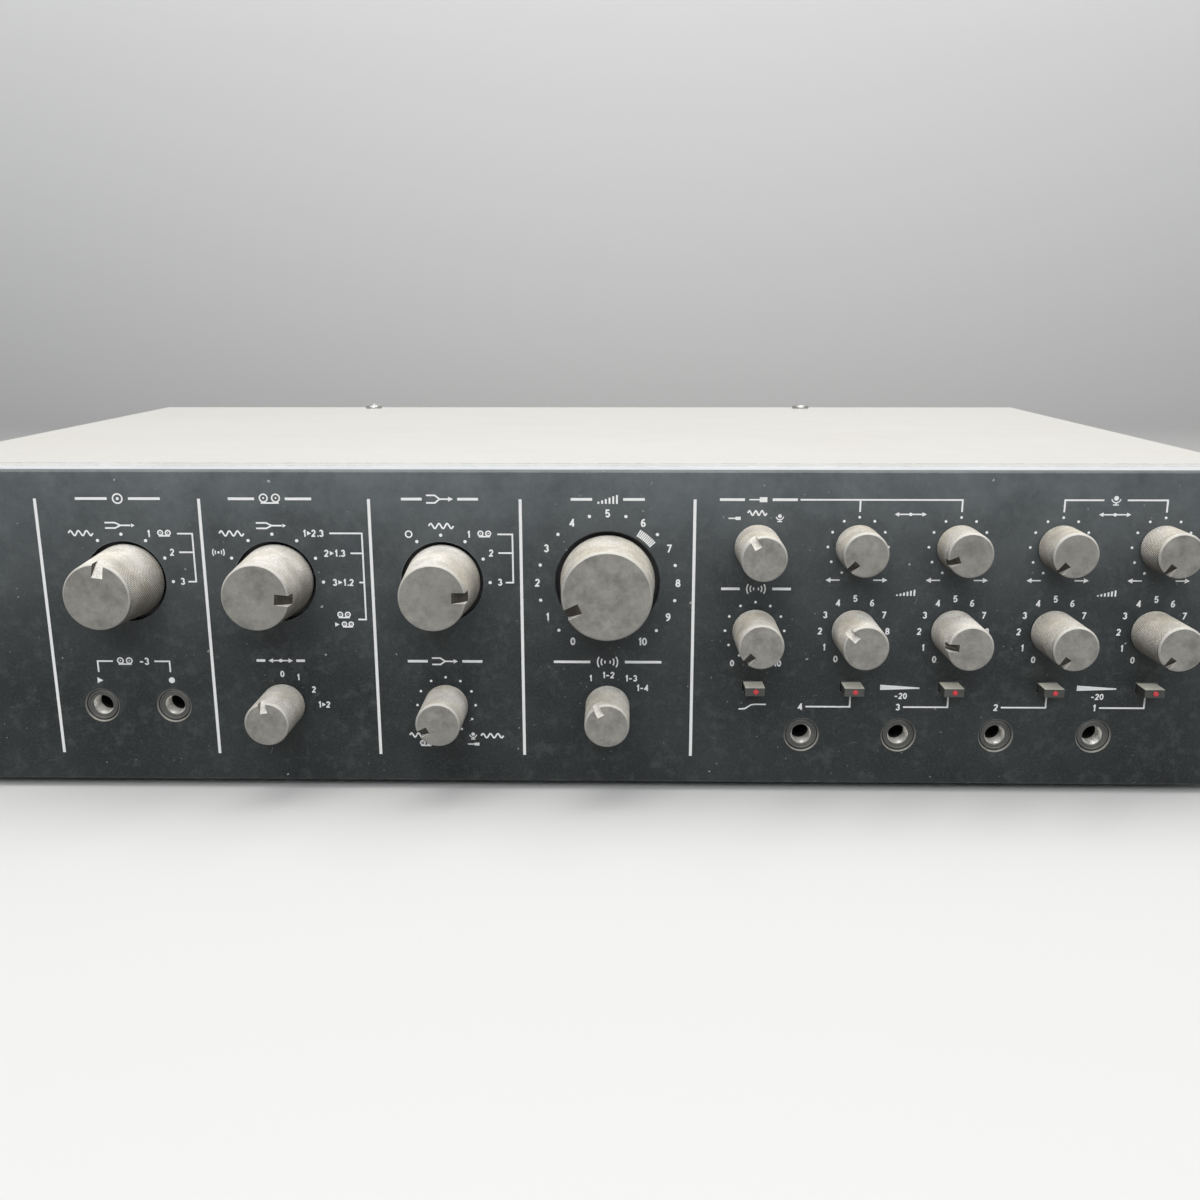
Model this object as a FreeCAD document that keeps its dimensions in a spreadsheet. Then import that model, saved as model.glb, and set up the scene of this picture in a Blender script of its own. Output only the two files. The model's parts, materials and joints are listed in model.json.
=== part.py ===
import FreeCAD, Part
import math
import os
import re

import Sketcher

# A table-top audio mixer and preamplifier with a reverberation section, in millimetres.
# X runs to the right along the front panel, Y runs from the panel towards the rear and Z up.
# The origin is the bottom centre of the whole object, on the surface that its feet stand on.

# Driving dimensions. Each one becomes a cell of the spreadsheet, under the same alias.
SIZES = {
    # Front panel, case and the sheet metal behind it
    "panel_width": 430.0,
    "panel_height": 98.0,
    "panel_thick": 3.5,
    "panel_chamfer": 0.4,
    "case_width": 418.3,
    "case_depth": 235.7,        # from the panel's front face to the cover's rear edge
    "sheet": 1.2,               # chassis, base and rear panel
    "cover_sheet": 1.0,
    "slip": 0.1,                # clearance between sheet parts that slide together
    "floor_rise": 4.0,          # underside of the base above the panel's lower edge
    "top_drop": 0.5,            # chassis flange below the panel's upper edge
    "cover_start": 15.0,        # cover's front edge behind the panel's front face
    "flange_depth": 18.0,       # chassis top and end flanges
    "rear_inset": 1.0,          # rear panel inside the cover's rear edge
    "rear_flange": 14.0,
    "side_flange": 15.0,        # height of the base's upturned sides
    "vent_length": 28.0,
    "vent_width": 3.0,
    "vent_pitch": 8.0,
    "vent_rear": 60.0,          # vent rows ahead of the rear panel
    "vent_across": 118.0,       # middle of each vent group from the case's middle
    # Feet and screws
    "foot_height": 7.0,
    "foot_rad": 10.0,
    "foot_taper": 1.5,
    "foot_well_rad": 5.0,
    "foot_well_depth": 3.0,
    "foot_inset": 34.15,        # from the case's side
    "foot_front": 35.0,
    "foot_along": 165.0,
    "screw_rad": 1.9,
    "screw_head_rad": 4.0,
    "screw_head": 2.0,
    "screw_length": 8.0,
    "screw_slack": 0.1,
    "cover_screw_across": 208.0,
    "cover_screw_inset": 6.0,
    "side_screw_front": 55.0,
    "side_screw_along": 130.0,
    "side_screw_rise": 8.0,
    # Where the controls sit: across from the panel's middle, up from its lower edge
    "monitor_across": -133.4,
    "record_across": -87.7,
    "mix_across": -36.9,
    "master_across": 13.1,
    "input_across": 57.8,
    "strip_across": 87.8,       # first channel strip
    "strip_pitch": 30.0,
    "power_inset": 19.15,       # from the case's left side
    "power_up": 24.5,
    "selector_up": 64.2,
    "lower_up": 25.1,
    "pan_up": 75.4,
    "level_up": 49.4,
    "button_up": 31.8,
    "mic_jack_across": 73.3,
    "mic_jack_up": 16.0,
    "tape_jack_across": -144.7,
    "tape_jack_pitch": 22.6,
    "tape_jack_up": 24.5,
    # Resting pointer angles, clockwise from straight up; a knob sits on its shaft a few degrees off
    "monitor_rest": 8.0,
    "record_rest": 96.0,
    "mixing_rest": 90.0,
    "master_rest": -115.0,
    "adaptor_rest": -10.0,
    "balance_rest": -118.0,
    "reverb_select_rest": -30.0,
    "input_rest": -30.0,
    "reverb_level_rest": -138.0,
    "pan_4_rest": -136.0,
    "pan_3_rest": -112.0,
    "pan_2_rest": -140.0,
    "pan_1_rest": -147.0,
    "level_4_rest": -48.0,
    "level_3_rest": -88.0,
    "level_2_rest": -146.0,
    "level_1_rest": -146.0,
    # Large selector knobs, which sink into round holes of the panel
    "large_out": 20.5,          # face in front of the panel
    "large_seat": 2.0,          # rear edge behind the panel's front face
    "large_rear_rad": 11.4,
    "large_front_rad": 10.2,
    "large_bevel": 0.8,
    "large_hole_rad": 12.5,
    "large_notch_start": 5.4,
    "large_notch_back": 5.0,
    "large_notch_width": 3.2,
    # Master volume knob
    "master_out": 18.0,
    "master_seat": 2.0,
    "master_rear_rad": 14.4,
    "master_front_rad": 13.7,
    "master_bevel": 1.0,
    "master_hole_rad": 15.7,
    "master_notch_start": 8.4,
    "master_notch_back": 5.0,
    "master_notch_width": 3.2,
    # Small knobs, which stand just in front of the panel
    "small_out": 18.3,
    "small_seat": -0.8,
    "small_rear_rad": 6.85,
    "small_front_rad": 6.65,
    "small_bevel": 0.45,
    "small_hole_rad": 6.1,
    "small_notch_start": 3.2,
    "small_notch_back": 3.6,
    "small_notch_width": 2.2,
    "level_out": 19.0,
    "pan_out": 12.5,
    # Inside of every knob, and its shaft
    "knob_wall": 1.0,
    "knob_cap": 4.0,
    "knob_recess": 6.0,
    "boss_rad": 4.7,
    "boss_gap": 0.3,            # boss ahead of the panel's front face
    "shaft_rad": 3.0,
    "push_gap": 0.02,
    "run_gap": 0.05,
    "end_gap": 0.3,
    # Bushings, nuts and the parts behind the panel
    "bushing_rad": 3.9,
    "bushing_sink": 0.5,        # bushing's front end behind the panel's front face
    "nut_rad": 5.7,
    "nut_thick": 2.2,
    "pot_rad": 8.2,
    "pot_depth": 9.0,
    "pot_bore": 6.0,            # how far the shaft runs into the can
    "master_pot_rad": 12.0,
    "master_pot_depth": 20.0,
    "switch_rad": 12.0,
    "switch_depth": 7.0,
    "wafer_rad": 13.0,
    "wafer_thick": 1.5,
    "wafer_pitch": 8.0,
    "tie_rad": 1.5,
    "tie_out": 10.0,
    # Channel and low-cut buttons
    "button_width": 6.0,
    "button_tall": 2.7,
    "button_out": 6.0,
    "button_travel": 3.0,
    "button_slack": 0.3,
    "stem_width": 3.6,
    "stem_tall": 1.8,
    "stem_reach": 9.0,          # stem inside its switch when the button is out
    "stem_slack": 0.12,
    "latch_width": 9.0,
    "latch_tall": 7.0,
    "latch_depth": 22.0,
    # Power button
    "power_width": 12.0,
    "power_tall": 8.0,
    "power_out": 8.0,
    "power_travel": 4.0,
    "power_latch_width": 20.0,
    "power_latch_tall": 16.0,
    "power_latch_depth": 32.0,
    # Phone jacks
    "jack_bore_rad": 3.2,
    "jack_bush_rad": 4.8,
    "jack_hole_rad": 5.0,
    "jack_sink": 0.6,
    "jack_bore_deep": 30.0,
    "jack_block": 14.0,
    "jack_block_deep": 28.0,
    # Rear panel fittings
    "phono_rad": 4.15,
    "phono_flange_rad": 5.0,
    "phono_flange": 1.5,
    "phono_tail_rad": 2.0,
    "phono_tail": 5.0,
    "phono_out": 9.5,
    "phono_pin_rad": 1.6,
    "phono_pin_deep": 8.0,
    "phono_pitch": 20.0,
    "phono_row_pitch": 22.0,
    "phono_up": 52.0,
    "phono_plate_thick": 1.6,
    "phono_margin": 11.0,
    "phono_hole_rad": 5.6,
    "phono_left_across": -35.0,
    "phono_right_across": 100.0,
    "bushing_out": 12.0,
    "bushing_in": 6.0,
    "bushing_base_rad": 8.0,
    "bushing_tip_rad": 5.5,
    "bushing_neck_rad": 6.5,
    "bushing_flange": 2.0,
    "cord_bore_rad": 3.6,
    "cord_inset": 24.15,        # from the case's left side
    "cord_up": 22.0,
    "fuse_inset": 59.15,
    "fuse_up": 24.0,
    "fuse_barrel_rad": 6.0,
    "fuse_flange_rad": 8.0,
    "fuse_flange": 2.0,
    "fuse_cap_rad": 6.5,
    "fuse_out": 9.0,
    "fuse_in": 30.0,
    # Inside the case
    "board_width": 280.0,
    "board_depth": 105.0,
    "board_thick": 1.6,
    "board_inset": 19.15,       # from the case's right side
    "board_front": 58.0,
    "board_lift": 10.0,
    "standoff_rad": 3.5,
    "standoff_inset": 8.0,
    "capacitor_rad": 8.0,
    "capacitor_tall": 30.0,
    "capacitor_pitch": 22.0,
    "relay_length": 28.0,
    "relay_width": 16.0,
    "relay_tall": 18.0,
    "core_width": 62.0,
    "core_depth": 32.0,
    "core_tall": 52.0,
    "core_leg": 20.0,           # middle leg; the outer legs and yokes are half as wide
    "winding_depth": 50.0,
    "winding_gap": 0.2,
    "transformer_inset": 51.15,
    "transformer_front": 155.0,
    "transformer_foot": 14.0,
    "tank_width": 240.0,
    "tank_depth": 34.0,
    "tank_tall": 26.0,
    "tank_wall": 1.0,
    "tank_inset": 49.15,        # from the case's right side
    "tank_front": 180.0,
    "spring_rad": 2.4,
    "spring_pitch": 9.0,
    "spring_lift": 10.0,
    "transducer_length": 16.0,
}

# Places worked out from the sizes.
PLACES = {
    "front_y": "(large_out - case_depth + rear_inset - bushing_out) / 2",
    "web_y": "front_y + panel_thick",
    "mount_y": "web_y + sheet",
    "rear_y": "front_y + case_depth - rear_inset",
    "panel_z": "foot_height - floor_rise",
    "floor_z": "foot_height + sheet",
    "under_cover_z": "panel_z + panel_height - top_drop",
    "shell_half": "case_width / 2 - cover_sheet - slip",
    "bushing_length": "mount_y - front_y - bushing_sink",
    "bushing_y": "front_y + bushing_sink",
    "bore_rad": "shaft_rad + run_gap",
    "screw_hole_rad": "screw_rad + screw_slack",
    "side_screw_z": "floor_z + side_screw_rise",
    "tape_jack_x2": "tape_jack_across + tape_jack_pitch",
    "power_across": "power_inset - case_width / 2",
    "cord_across": "cord_inset - case_width / 2",
    "fuse_across": "fuse_inset - case_width / 2",
    "board_across": "case_width / 2 - board_inset - board_width / 2",
    "transformer_across": "transformer_inset - case_width / 2",
    "tank_across": "case_width / 2 - tank_inset - tank_width / 2",
}

# Every rotary control: knob family, place across and up, how far it stands out, and what it turns.
ROTARY = {
    "monitor": ("large", "monitor_across", "selector_up", "large_out", "switch"),
    "record": ("large", "record_across", "selector_up", "large_out", "switch"),
    "mixing": ("large", "mix_across", "selector_up", "large_out", "switch"),
    "master": ("master", "master_across", "selector_up", "master_out", "master_pot"),
    "adaptor": ("small", "record_across", "lower_up", "small_out", "switch"),
    "balance": ("small", "mix_across", "lower_up", "small_out", "pot"),
    "reverb_select": ("small", "master_across", "lower_up", "small_out", "switch"),
    "input": ("small", "input_across", "pan_up", "small_out", "switch"),
    "reverb_level": ("small", "input_across", "level_up", "small_out", "pot"),
}
CHANNELS = (4, 3, 2, 1)         # numbered from the right
for place, channel in enumerate(CHANNELS):
    across = f"strip_across + {place} * strip_pitch"
    ROTARY[f"pan_{channel}"] = ("small", across, "pan_up", "pan_out", "pot")
    ROTARY[f"level_{channel}"] = ("small", across, "level_up", "level_out", "pot")

BUTTONS = {"low_cut": ("button", "input_across", "button_up"),
           "power": ("power", "power_across", "power_up")}
for place, channel in enumerate(CHANNELS):
    BUTTONS[f"attenuator_{channel}"] = ("button", f"strip_across + {place} * strip_pitch", "button_up")

JACKS = [(across, "tape_jack_up") for across in ("tape_jack_across", "tape_jack_x2")]
JACKS += [(f"mic_jack_across + {place} * strip_pitch", "mic_jack_up") for place in range(4)]

CORNERS = [(side, end) for side in (-1, 1) for end in (0, 1)]
PHONO_GRID = [(column, row) for column in range(-2, 3) for row in (-1, 1)]


doc = FreeCAD.newDocument("AudioMixer")
sheet = doc.addObject("Spreadsheet::Sheet", "Sizes")
for line, (alias, size) in enumerate(SIZES.items(), start=1):
    sheet.set(f"A{line}", alias)
    sheet.set(f"B{line}", str(size))
    sheet.setAlias(f"B{line}", alias)
doc.recompute()

parts = []                      # the finished sub-parts, one per node


def formula(text):
    """Write a formula of size and place names as an expression on the sheet."""
    def cell(match):
        word = match.group()
        if word in PLACES:
            return "(" + formula(PLACES[word]) + ")"
        return "Sizes." + word if word in SIZES else word
    return re.sub(r"[a-z][a-z_0-9]*", cell, str(text))


def measure(text):
    """Value of a formula, for the first guess that a sketch is drawn with."""
    return float(sheet.evalExpression(formula(text)))


def bind(item, **sizes):
    for prop, text in sizes.items():
        item.setExpression(prop, formula(text))


def put(item, x="0", y="0", z="0"):
    for axis, text in zip("xyz", (x, y, z)):
        item.setExpression("Placement.Base." + axis, formula(text))


def turn(item, axis, angle):
    item.Placement = FreeCAD.Placement(item.Placement.Base, FreeCAD.Rotation(FreeCAD.Vector(*axis), angle))


def node(item, label):
    item.Label = label
    parts.append(item)
    return item


# Part primitives

def box(x, y, z, width, depth, height):
    """Box from its low corner."""
    item = doc.addObject("Part::Box", "Block")
    bind(item, Length=width, Width=depth, Height=height)
    put(item, x, y, z)
    return item


def slab(x, y, z, width, depth, height):
    """Box centred on x, from its low y and z."""
    return box(f"{x} - ({width}) / 2", y, z, width, depth, height)


def block(x, y, z, width, depth, height):
    """Box centred on x and z, from its low y."""
    return box(f"{x} - ({width}) / 2", y, f"{z} - ({height}) / 2", width, depth, height)


def rod(x, y, z, radius, length, axis="y"):
    """Cylinder that starts at a point and runs along +X, +Y or +Z."""
    item = doc.addObject("Part::Cylinder", "Rod")
    bind(item, Radius=radius, Height=length)
    if axis == "y":
        turn(item, (1, 0, 0), -90)
    if axis == "x":
        turn(item, (0, 1, 0), 90)
    put(item, x, y, z)
    return item


def fuse(pieces):
    item = doc.addObject("Part::MultiFuse", "Joined")
    item.Shapes = pieces
    item.Refine = True
    return item


def cut(base, tools):
    item = doc.addObject("Part::Cut", "Trimmed")
    item.Base = base
    item.Tool = tools[0] if len(tools) == 1 else fuse(tools)
    return item


def group(pieces):
    """Separate solids that share one node."""
    item = doc.addObject("Part::Compound", "Group")
    item.Links = pieces
    return item


# PartDesign bodies

def new_body(name):
    return doc.addObject("PartDesign::Body", name)


def new_sketch(body, plane):
    sketch = body.newObject("Sketcher::SketchObject", "Sketch")
    support = next(item for item in body.Origin.OriginFeatures if item.Role == plane)
    sketch.AttachmentSupport = [(support, "")]
    sketch.MapMode = "FlatFace"
    return sketch


def fix(sketch, kind, elements, text):
    """Add one dimension to a sketch and bind it to the sheet."""
    number = sketch.addConstraint(Sketcher.Constraint(kind, *elements, measure(text)))
    sketch.setExpression(f"Constraints[{number}]", formula(text))


def draw_polygon(sketch, points):
    """Closed outline; each point is a pair of formulas, measured from the sketch's origin."""
    spots = [FreeCAD.Vector(measure(across), measure(up), 0) for across, up in points]
    lines = [sketch.addGeometry(Part.LineSegment(spots[i - 1], spot)) for i, spot in enumerate(spots)]
    for i, index in enumerate(lines):
        following = lines[(i + 1) % len(lines)]
        sketch.addConstraint(Sketcher.Constraint("Coincident", index, 2, following, 1))
    for index, (across, up) in zip(lines, points):
        fix(sketch, "DistanceX", (-1, 1, index, 2), across)
        fix(sketch, "DistanceY", (-1, 1, index, 2), up)


def draw_circle(sketch, across, up, radius):
    centre = FreeCAD.Vector(measure(across), measure(up), 0)
    index = sketch.addGeometry(Part.Circle(centre, FreeCAD.Vector(0, 0, 1), measure(radius)))
    fix(sketch, "DistanceX", (-1, 1, index, 3), across)
    fix(sketch, "DistanceY", (-1, 1, index, 3), up)
    fix(sketch, "Radius", (index,), radius)


def draw_rectangle(sketch, left, low, width, height):
    right, high = f"{left} + {width}", f"{low} + {height}"
    draw_polygon(sketch, [(left, low), (right, low), (right, high), (left, high)])


def draw_window(sketch, across, up, width, height):
    draw_rectangle(sketch, f"{across} - ({width}) / 2", f"{up} - ({height}) / 2", width, height)


def pad(body, sketch, length):
    """Pad along +Y from a sketch on the body's XZ plane."""
    feature = body.newObject("PartDesign::Pad", "Pad")
    feature.Profile = sketch
    feature.Reversed = True
    bind(feature, Length=length)
    body.Tip = feature
    return feature


def revolve(body, points):
    """Solid of revolution about the body's own Y axis; points are pairs of (y, radius)."""
    sketch = new_sketch(body, "YZ_Plane")
    draw_polygon(sketch, points)
    feature = body.newObject("PartDesign::Revolution", "Revolution")
    feature.Profile = sketch
    feature.ReferenceAxis = (sketch, ["H_Axis"])
    feature.Angle = 360
    body.Tip = feature
    return feature


def turned(name, points):
    body = new_body(name)
    revolve(body, points)
    return body


# Sheet metal and panels

def make_front_panel():
    body = new_body("FrontPlate")
    sketch = new_sketch(body, "XZ_Plane")
    draw_rectangle(sketch, "0", "0", "panel_width", "panel_height")
    for family, across, up, _, _ in ROTARY.values():
        draw_circle(sketch, f"panel_width / 2 + {across}", up, f"{family}_hole_rad")
    for across, up in JACKS:
        draw_circle(sketch, f"panel_width / 2 + {across}", up, "jack_hole_rad")
    for family, across, up in BUTTONS.values():
        width, tall = f"{family}_width + 2 * button_slack", f"{family}_tall + 2 * button_slack"
        draw_window(sketch, f"panel_width / 2 + {across}", up, width, tall)
    plate = pad(body, sketch, "panel_thick")
    doc.recompute()
    jack_rim = 2 * math.pi * measure("jack_hole_rad")
    front_edges = [f"Edge{number}" for number, edge in enumerate(plate.Shape.Edges, start=1)
                   if edge.BoundBox.YMax < 0.001
                   and (edge.Length > measure("panel_height") - 1 or abs(edge.Length - jack_rim) < 0.01)]
    bevel = body.newObject("PartDesign::Chamfer", "Bevel")
    bevel.Base = (plate, front_edges)
    bind(bevel, Size="panel_chamfer")
    body.Tip = bevel
    put(body, "-panel_width / 2", "front_y", "panel_z")
    node(body, "front_panel")


def make_front_chassis():
    """Folded sheet behind the panel that carries every control; its top flange shows."""
    tall = "under_cover_z - floor_z"
    web = slab("0", "web_y", "floor_z", "2 * shell_half", "sheet", tall)
    top = slab("0", "web_y", "under_cover_z - sheet", "2 * shell_half", "flange_depth", "sheet")
    ends = [slab(f"{side} * (shell_half - sheet / 2)", "web_y", "floor_z", "sheet", "flange_depth", tall)
            for side in (-1, 1)]
    holes = [rod(across, "web_y - 1", f"panel_z + {up}", "bushing_rad + screw_slack", "sheet + 2")
             for _, across, up, _, _ in ROTARY.values()]
    holes += [rod(across, "web_y - 1", f"panel_z + {up}", "jack_bush_rad + screw_slack", "sheet + 2")
              for across, up in JACKS]
    for family, across, up in BUTTONS.values():
        holes.append(block(across, "web_y - 1", f"panel_z + {up}", f"{family}_width + 2 * button_slack",
                           "sheet + 2", f"{family}_tall + 2 * button_slack"))
    node(cut(fuse([web, top] + ends), holes), "front_chassis")


def side_screw_places():
    return [(side, f"front_y + side_screw_front + {end} * side_screw_along") for side, end in CORNERS]


def foot_places():
    return [(f"{side} * (case_width / 2 - foot_inset)", f"front_y + foot_front + {end} * foot_along")
            for side, end in CORNERS]


def standoff_places():
    half_width = "(board_width / 2 - standoff_inset)"
    return [(f"board_across + {column} * {half_width}",
             f"front_y + board_front + standoff_inset + {end} * (board_depth - 2 * standoff_inset)")
            for column in (-1, 0, 1) for end in (0, 1)]


def make_base_pan():
    depth = "rear_y - web_y"
    floor = slab("0", "web_y", "foot_height", "2 * shell_half", depth, "sheet")
    start = "web_y + flange_depth + slip"
    sides = [slab(f"{side} * (shell_half - sheet / 2)", start, "foot_height", "sheet",
                  f"rear_y - ({start})", "side_flange") for side in (-1, 1)]
    holes = [rod(x, y, "foot_height - 1", "screw_hole_rad", "sheet + 2", "z") for x, y in foot_places()]
    holes += [rod(f"{side} * (shell_half - sheet / 2) - 2 * sheet", y, "side_screw_z",
                  "screw_hole_rad", "4 * sheet", "x") for side, y in side_screw_places()]
    for side in (-1, 1):
        for step in range(-3, 4):
            holes.append(slab(f"{side} * vent_across + {step} * vent_pitch", "rear_y - vent_rear",
                              "foot_height - 1", "vent_width", "vent_length", "sheet + 2"))
    node(cut(fuse([floor] + sides), holes), "base_pan")


def phono_places():
    return [(f"{middle} + {column} * phono_pitch", f"panel_z + phono_up + {row} * phono_row_pitch / 2")
            for middle in ("phono_left_across", "phono_right_across") for column, row in PHONO_GRID]


def top_screw_places():
    return [(f"{side} * cover_screw_across / 2", "front_y + case_depth - cover_screw_inset")
            for side in (-1, 1)]


def make_rear_panel():
    width = "2 * (shell_half - sheet - slip)"
    plate = slab("0", "rear_y - sheet", "floor_z", width, "sheet", "under_cover_z - floor_z")
    flange = slab("0", "rear_y - rear_flange", "under_cover_z - sheet", width, "rear_flange", "sheet")
    holes = [rod(x, "rear_y - sheet - 1", z, "phono_hole_rad", "sheet + 2") for x, z in phono_places()]
    holes.append(rod("cord_across", "rear_y - sheet - 1", "panel_z + cord_up", "bushing_neck_rad + slip",
                     "sheet + 2"))
    holes.append(rod("fuse_across", "rear_y - sheet - 1", "panel_z + fuse_up", "fuse_barrel_rad + slip",
                     "sheet + 2"))
    holes += [rod(x, y, "under_cover_z - sheet - 1", "screw_hole_rad", "sheet + 2", "z")
              for x, y in top_screw_places()]
    node(cut(fuse([plate, flange]), holes), "rear_panel")


def make_top_cover():
    """Folded sheet: the top and both sides in one piece."""
    depth = "case_depth - cover_start"
    low = "foot_height"
    tall = "under_cover_z + cover_sheet - foot_height"
    outside = slab("0", "front_y + cover_start", low, "case_width", depth, tall)
    inside = slab("0", "front_y + cover_start - 1", f"{low} - 1", "case_width - 2 * cover_sheet",
                  f"{depth} + 2", "under_cover_z - foot_height + 1")
    holes = [rod(x, y, "under_cover_z - 1", "screw_hole_rad", "cover_sheet + 2", "z")
             for x, y in top_screw_places()]
    holes += [rod(f"{side} * (case_width - cover_sheet) / 2 - cover_sheet", y, "side_screw_z",
                  "screw_hole_rad", "2 * cover_sheet", "x") for side, y in side_screw_places()]
    node(cut(outside, [inside] + holes), "top_cover")


# Feet and fasteners

def make_feet():
    """Round rubber feet, wider at the base plate, with a well for the screw head."""
    hole = "screw_hole_rad"
    feet = []
    for x, y in foot_places():
        body = turned("Foot", [
            ("0", "foot_well_rad"), ("0", "foot_rad - foot_taper"), ("foot_height", "foot_rad"),
            ("foot_height", hole), ("foot_well_depth", hole), ("foot_well_depth", "foot_well_rad")])
        turn(body, (1, 0, 0), 90)
        put(body, x, y, "0")
        feet.append(body)
    node(group(feet), "feet")


def screw(x, y, z, axis, sense):
    """Pan-head screw whose head seats at the given place; sense is the way the head faces."""
    line = "xyz".index(axis)
    head_at, shank_at = [x, y, z], [x, y, z]
    if sense < 0:
        head_at[line] = f"{head_at[line]} - screw_head"
    else:
        shank_at[line] = f"{shank_at[line]} - screw_length"
    head = rod(*head_at, "screw_head_rad", "screw_head", axis)
    shank = rod(*shank_at, "screw_rad", "screw_length", axis)
    return fuse([head, shank])


def make_case_screws():
    screws = [screw(x, y, "under_cover_z + cover_sheet", "z", 1) for x, y in top_screw_places()]
    screws += [screw(f"{side} * case_width / 2", y, "side_screw_z", "x", side)
               for side, y in side_screw_places()]
    screws += [screw(x, y, "foot_well_depth", "z", -1) for x, y in foot_places()]
    screws += [screw(x, y, "floor_z + board_lift + board_thick", "z", 1) for x, y in standoff_places()]
    node(group(screws), "case_screws")


def make_panel_nuts():
    """Hexagon nuts on the bushings, in front of the chassis and hidden by the knobs."""
    nuts = []
    for _, across, up, _, _ in ROTARY.values():
        nut = doc.addObject("Part::Prism", "Hexagon")
        nut.Polygon = 6
        bind(nut, Circumradius="nut_rad", Height="nut_thick")
        turn(nut, (1, 0, 0), -90)
        put(nut, across, "web_y - nut_thick", f"panel_z + {up}")
        bore = rod(across, "web_y - nut_thick - 1", f"panel_z + {up}", "bushing_rad + run_gap",
                   "nut_thick + 2")
        nuts.append(cut(nut, [bore]))
    node(group(nuts), "panel_nuts")


# Rotary controls

def shaft_reach(turns):
    """How far behind the chassis a shaft ends, inside what it turns."""
    return {"pot": "pot_bore", "master_pot": "pot_bore",
            "switch": "(switch_depth + 2 * wafer_pitch)"}[turns]


def make_knob(name, family, across, up, out):
    body = new_body("Knob")
    length = f"{out} + {family}_seat"
    inner = f"{family}_rear_rad - knob_wall"
    revolve(body, [
        ("0", "0"), ("0", f"{family}_front_rad - {family}_bevel"),
        (f"{family}_bevel", f"{family}_front_rad"),
        (length, f"{family}_rear_rad"), (length, inner), (f"{length} - knob_recess", inner),
        (f"{length} - knob_recess", "boss_rad"), (f"{out} - boss_gap", "boss_rad"),
        (f"{out} - boss_gap", "shaft_rad + push_gap"), ("knob_cap", "shaft_rad + push_gap"),
        ("knob_cap", "0")])
    notch = new_sketch(body, "YZ_Plane")
    draw_polygon(notch, [("0", f"{family}_notch_start"), (f"{family}_notch_back", f"{family}_rear_rad"),
                         ("0", f"{family}_rear_rad")])
    pocket = body.newObject("PartDesign::Pocket", "Pointer")
    pocket.Profile = notch
    pocket.SideType = "Symmetric"
    bind(pocket, Length=f"{family}_notch_width")
    body.Tip = pocket
    turn(body, (0, 1, 0), 1)
    bind(body, **{"Placement.Rotation.Angle": f"{name}_rest"})
    put(body, across, f"front_y - {out}", f"panel_z + {up}")
    node(body, f"knob_{name}")


def make_shaft(name, across, up, out, turns):
    body = new_body("Shaft")
    sketch = new_sketch(body, "XZ_Plane")
    draw_circle(sketch, "0", "0", "shaft_rad")
    start = f"front_y - {out} + knob_cap + end_gap"
    pad(body, sketch, f"mount_y + {shaft_reach(turns)} - ({start})")
    put(body, across, start, f"panel_z + {up}")
    node(body, f"shaft_{name}")


def bushed_can(radius, depth, reach):
    """Threaded bushing in front and a round can behind, with a blind bore for the shaft."""
    bore_end = f"bushing_length + {reach} + end_gap"
    return turned("Can", [
        ("0", "bore_rad"), ("0", "bushing_rad"), ("bushing_length", "bushing_rad"),
        ("bushing_length", radius), (f"bushing_length + {depth}", radius),
        (f"bushing_length + {depth}", "0"), (bore_end, "0"), (bore_end, "bore_rad")])


def make_potentiometers():
    cans = []
    for _, across, up, _, turns in ROTARY.values():
        if turns == "switch":
            continue
        can = bushed_can(f"{turns}_rad", f"{turns}_depth", shaft_reach(turns))
        put(can, across, "bushing_y", f"panel_z + {up}")
        cans.append(can)
    node(group(cans), "potentiometers")


def make_rotary_switches():
    """Detent housing, two contact wafers and the tie rods that carry them."""
    switches = []
    for _, across, up, _, turns in ROTARY.values():
        if turns != "switch":
            continue
        z = f"panel_z + {up}"
        last_wafer = "switch_depth + 2 * wafer_pitch"
        front = turned("Detent", [
            ("0", "bore_rad"), ("0", "bushing_rad"), ("bushing_length", "bushing_rad"),
            ("bushing_length", "switch_rad"), ("bushing_length + switch_depth", "switch_rad"),
            ("bushing_length + switch_depth", "bore_rad")])
        put(front, across, "bushing_y", z)
        wafers = [rod(across, f"mount_y + switch_depth + {step} * wafer_pitch - wafer_thick", z,
                      "wafer_rad", "wafer_thick") for step in (1, 2)]
        ties = [rod(f"{across} + {side} * tie_out", "mount_y + switch_depth - 1", z, "tie_rad",
                    "2 * wafer_pitch + 1") for side in (-1, 1)]
        bore = rod(across, "mount_y", z, "bore_rad", f"{last_wafer} + 1")
        switches.append(cut(fuse([front] + wafers + ties), [bore]))
    node(group(switches), "rotary_switches")


# Push buttons

def button_sizes(family):
    """Formulas for a button's stand-out, travel and the switch behind it."""
    if family == "power":
        return "power_out", "power_travel", "power_latch_width", "power_latch_tall", "power_latch_depth"
    return "button_out", "button_travel", "latch_width", "latch_tall", "latch_depth"


def make_button(name, family, across, up):
    out, travel, _, _, _ = button_sizes(family)
    z = f"panel_z + {up}"
    cap_back = f"mount_y - {travel} - end_gap"
    cap = block(across, f"front_y - {out}", z, f"{family}_width", f"{cap_back} - (front_y - {out})",
                f"{family}_tall")
    stem = block(across, f"{cap_back} - 0.5", z, "stem_width", f"mount_y + stem_reach - ({cap_back}) + 0.5",
                 "stem_tall")
    node(fuse([cap, stem]), f"button_{name}")


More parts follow.
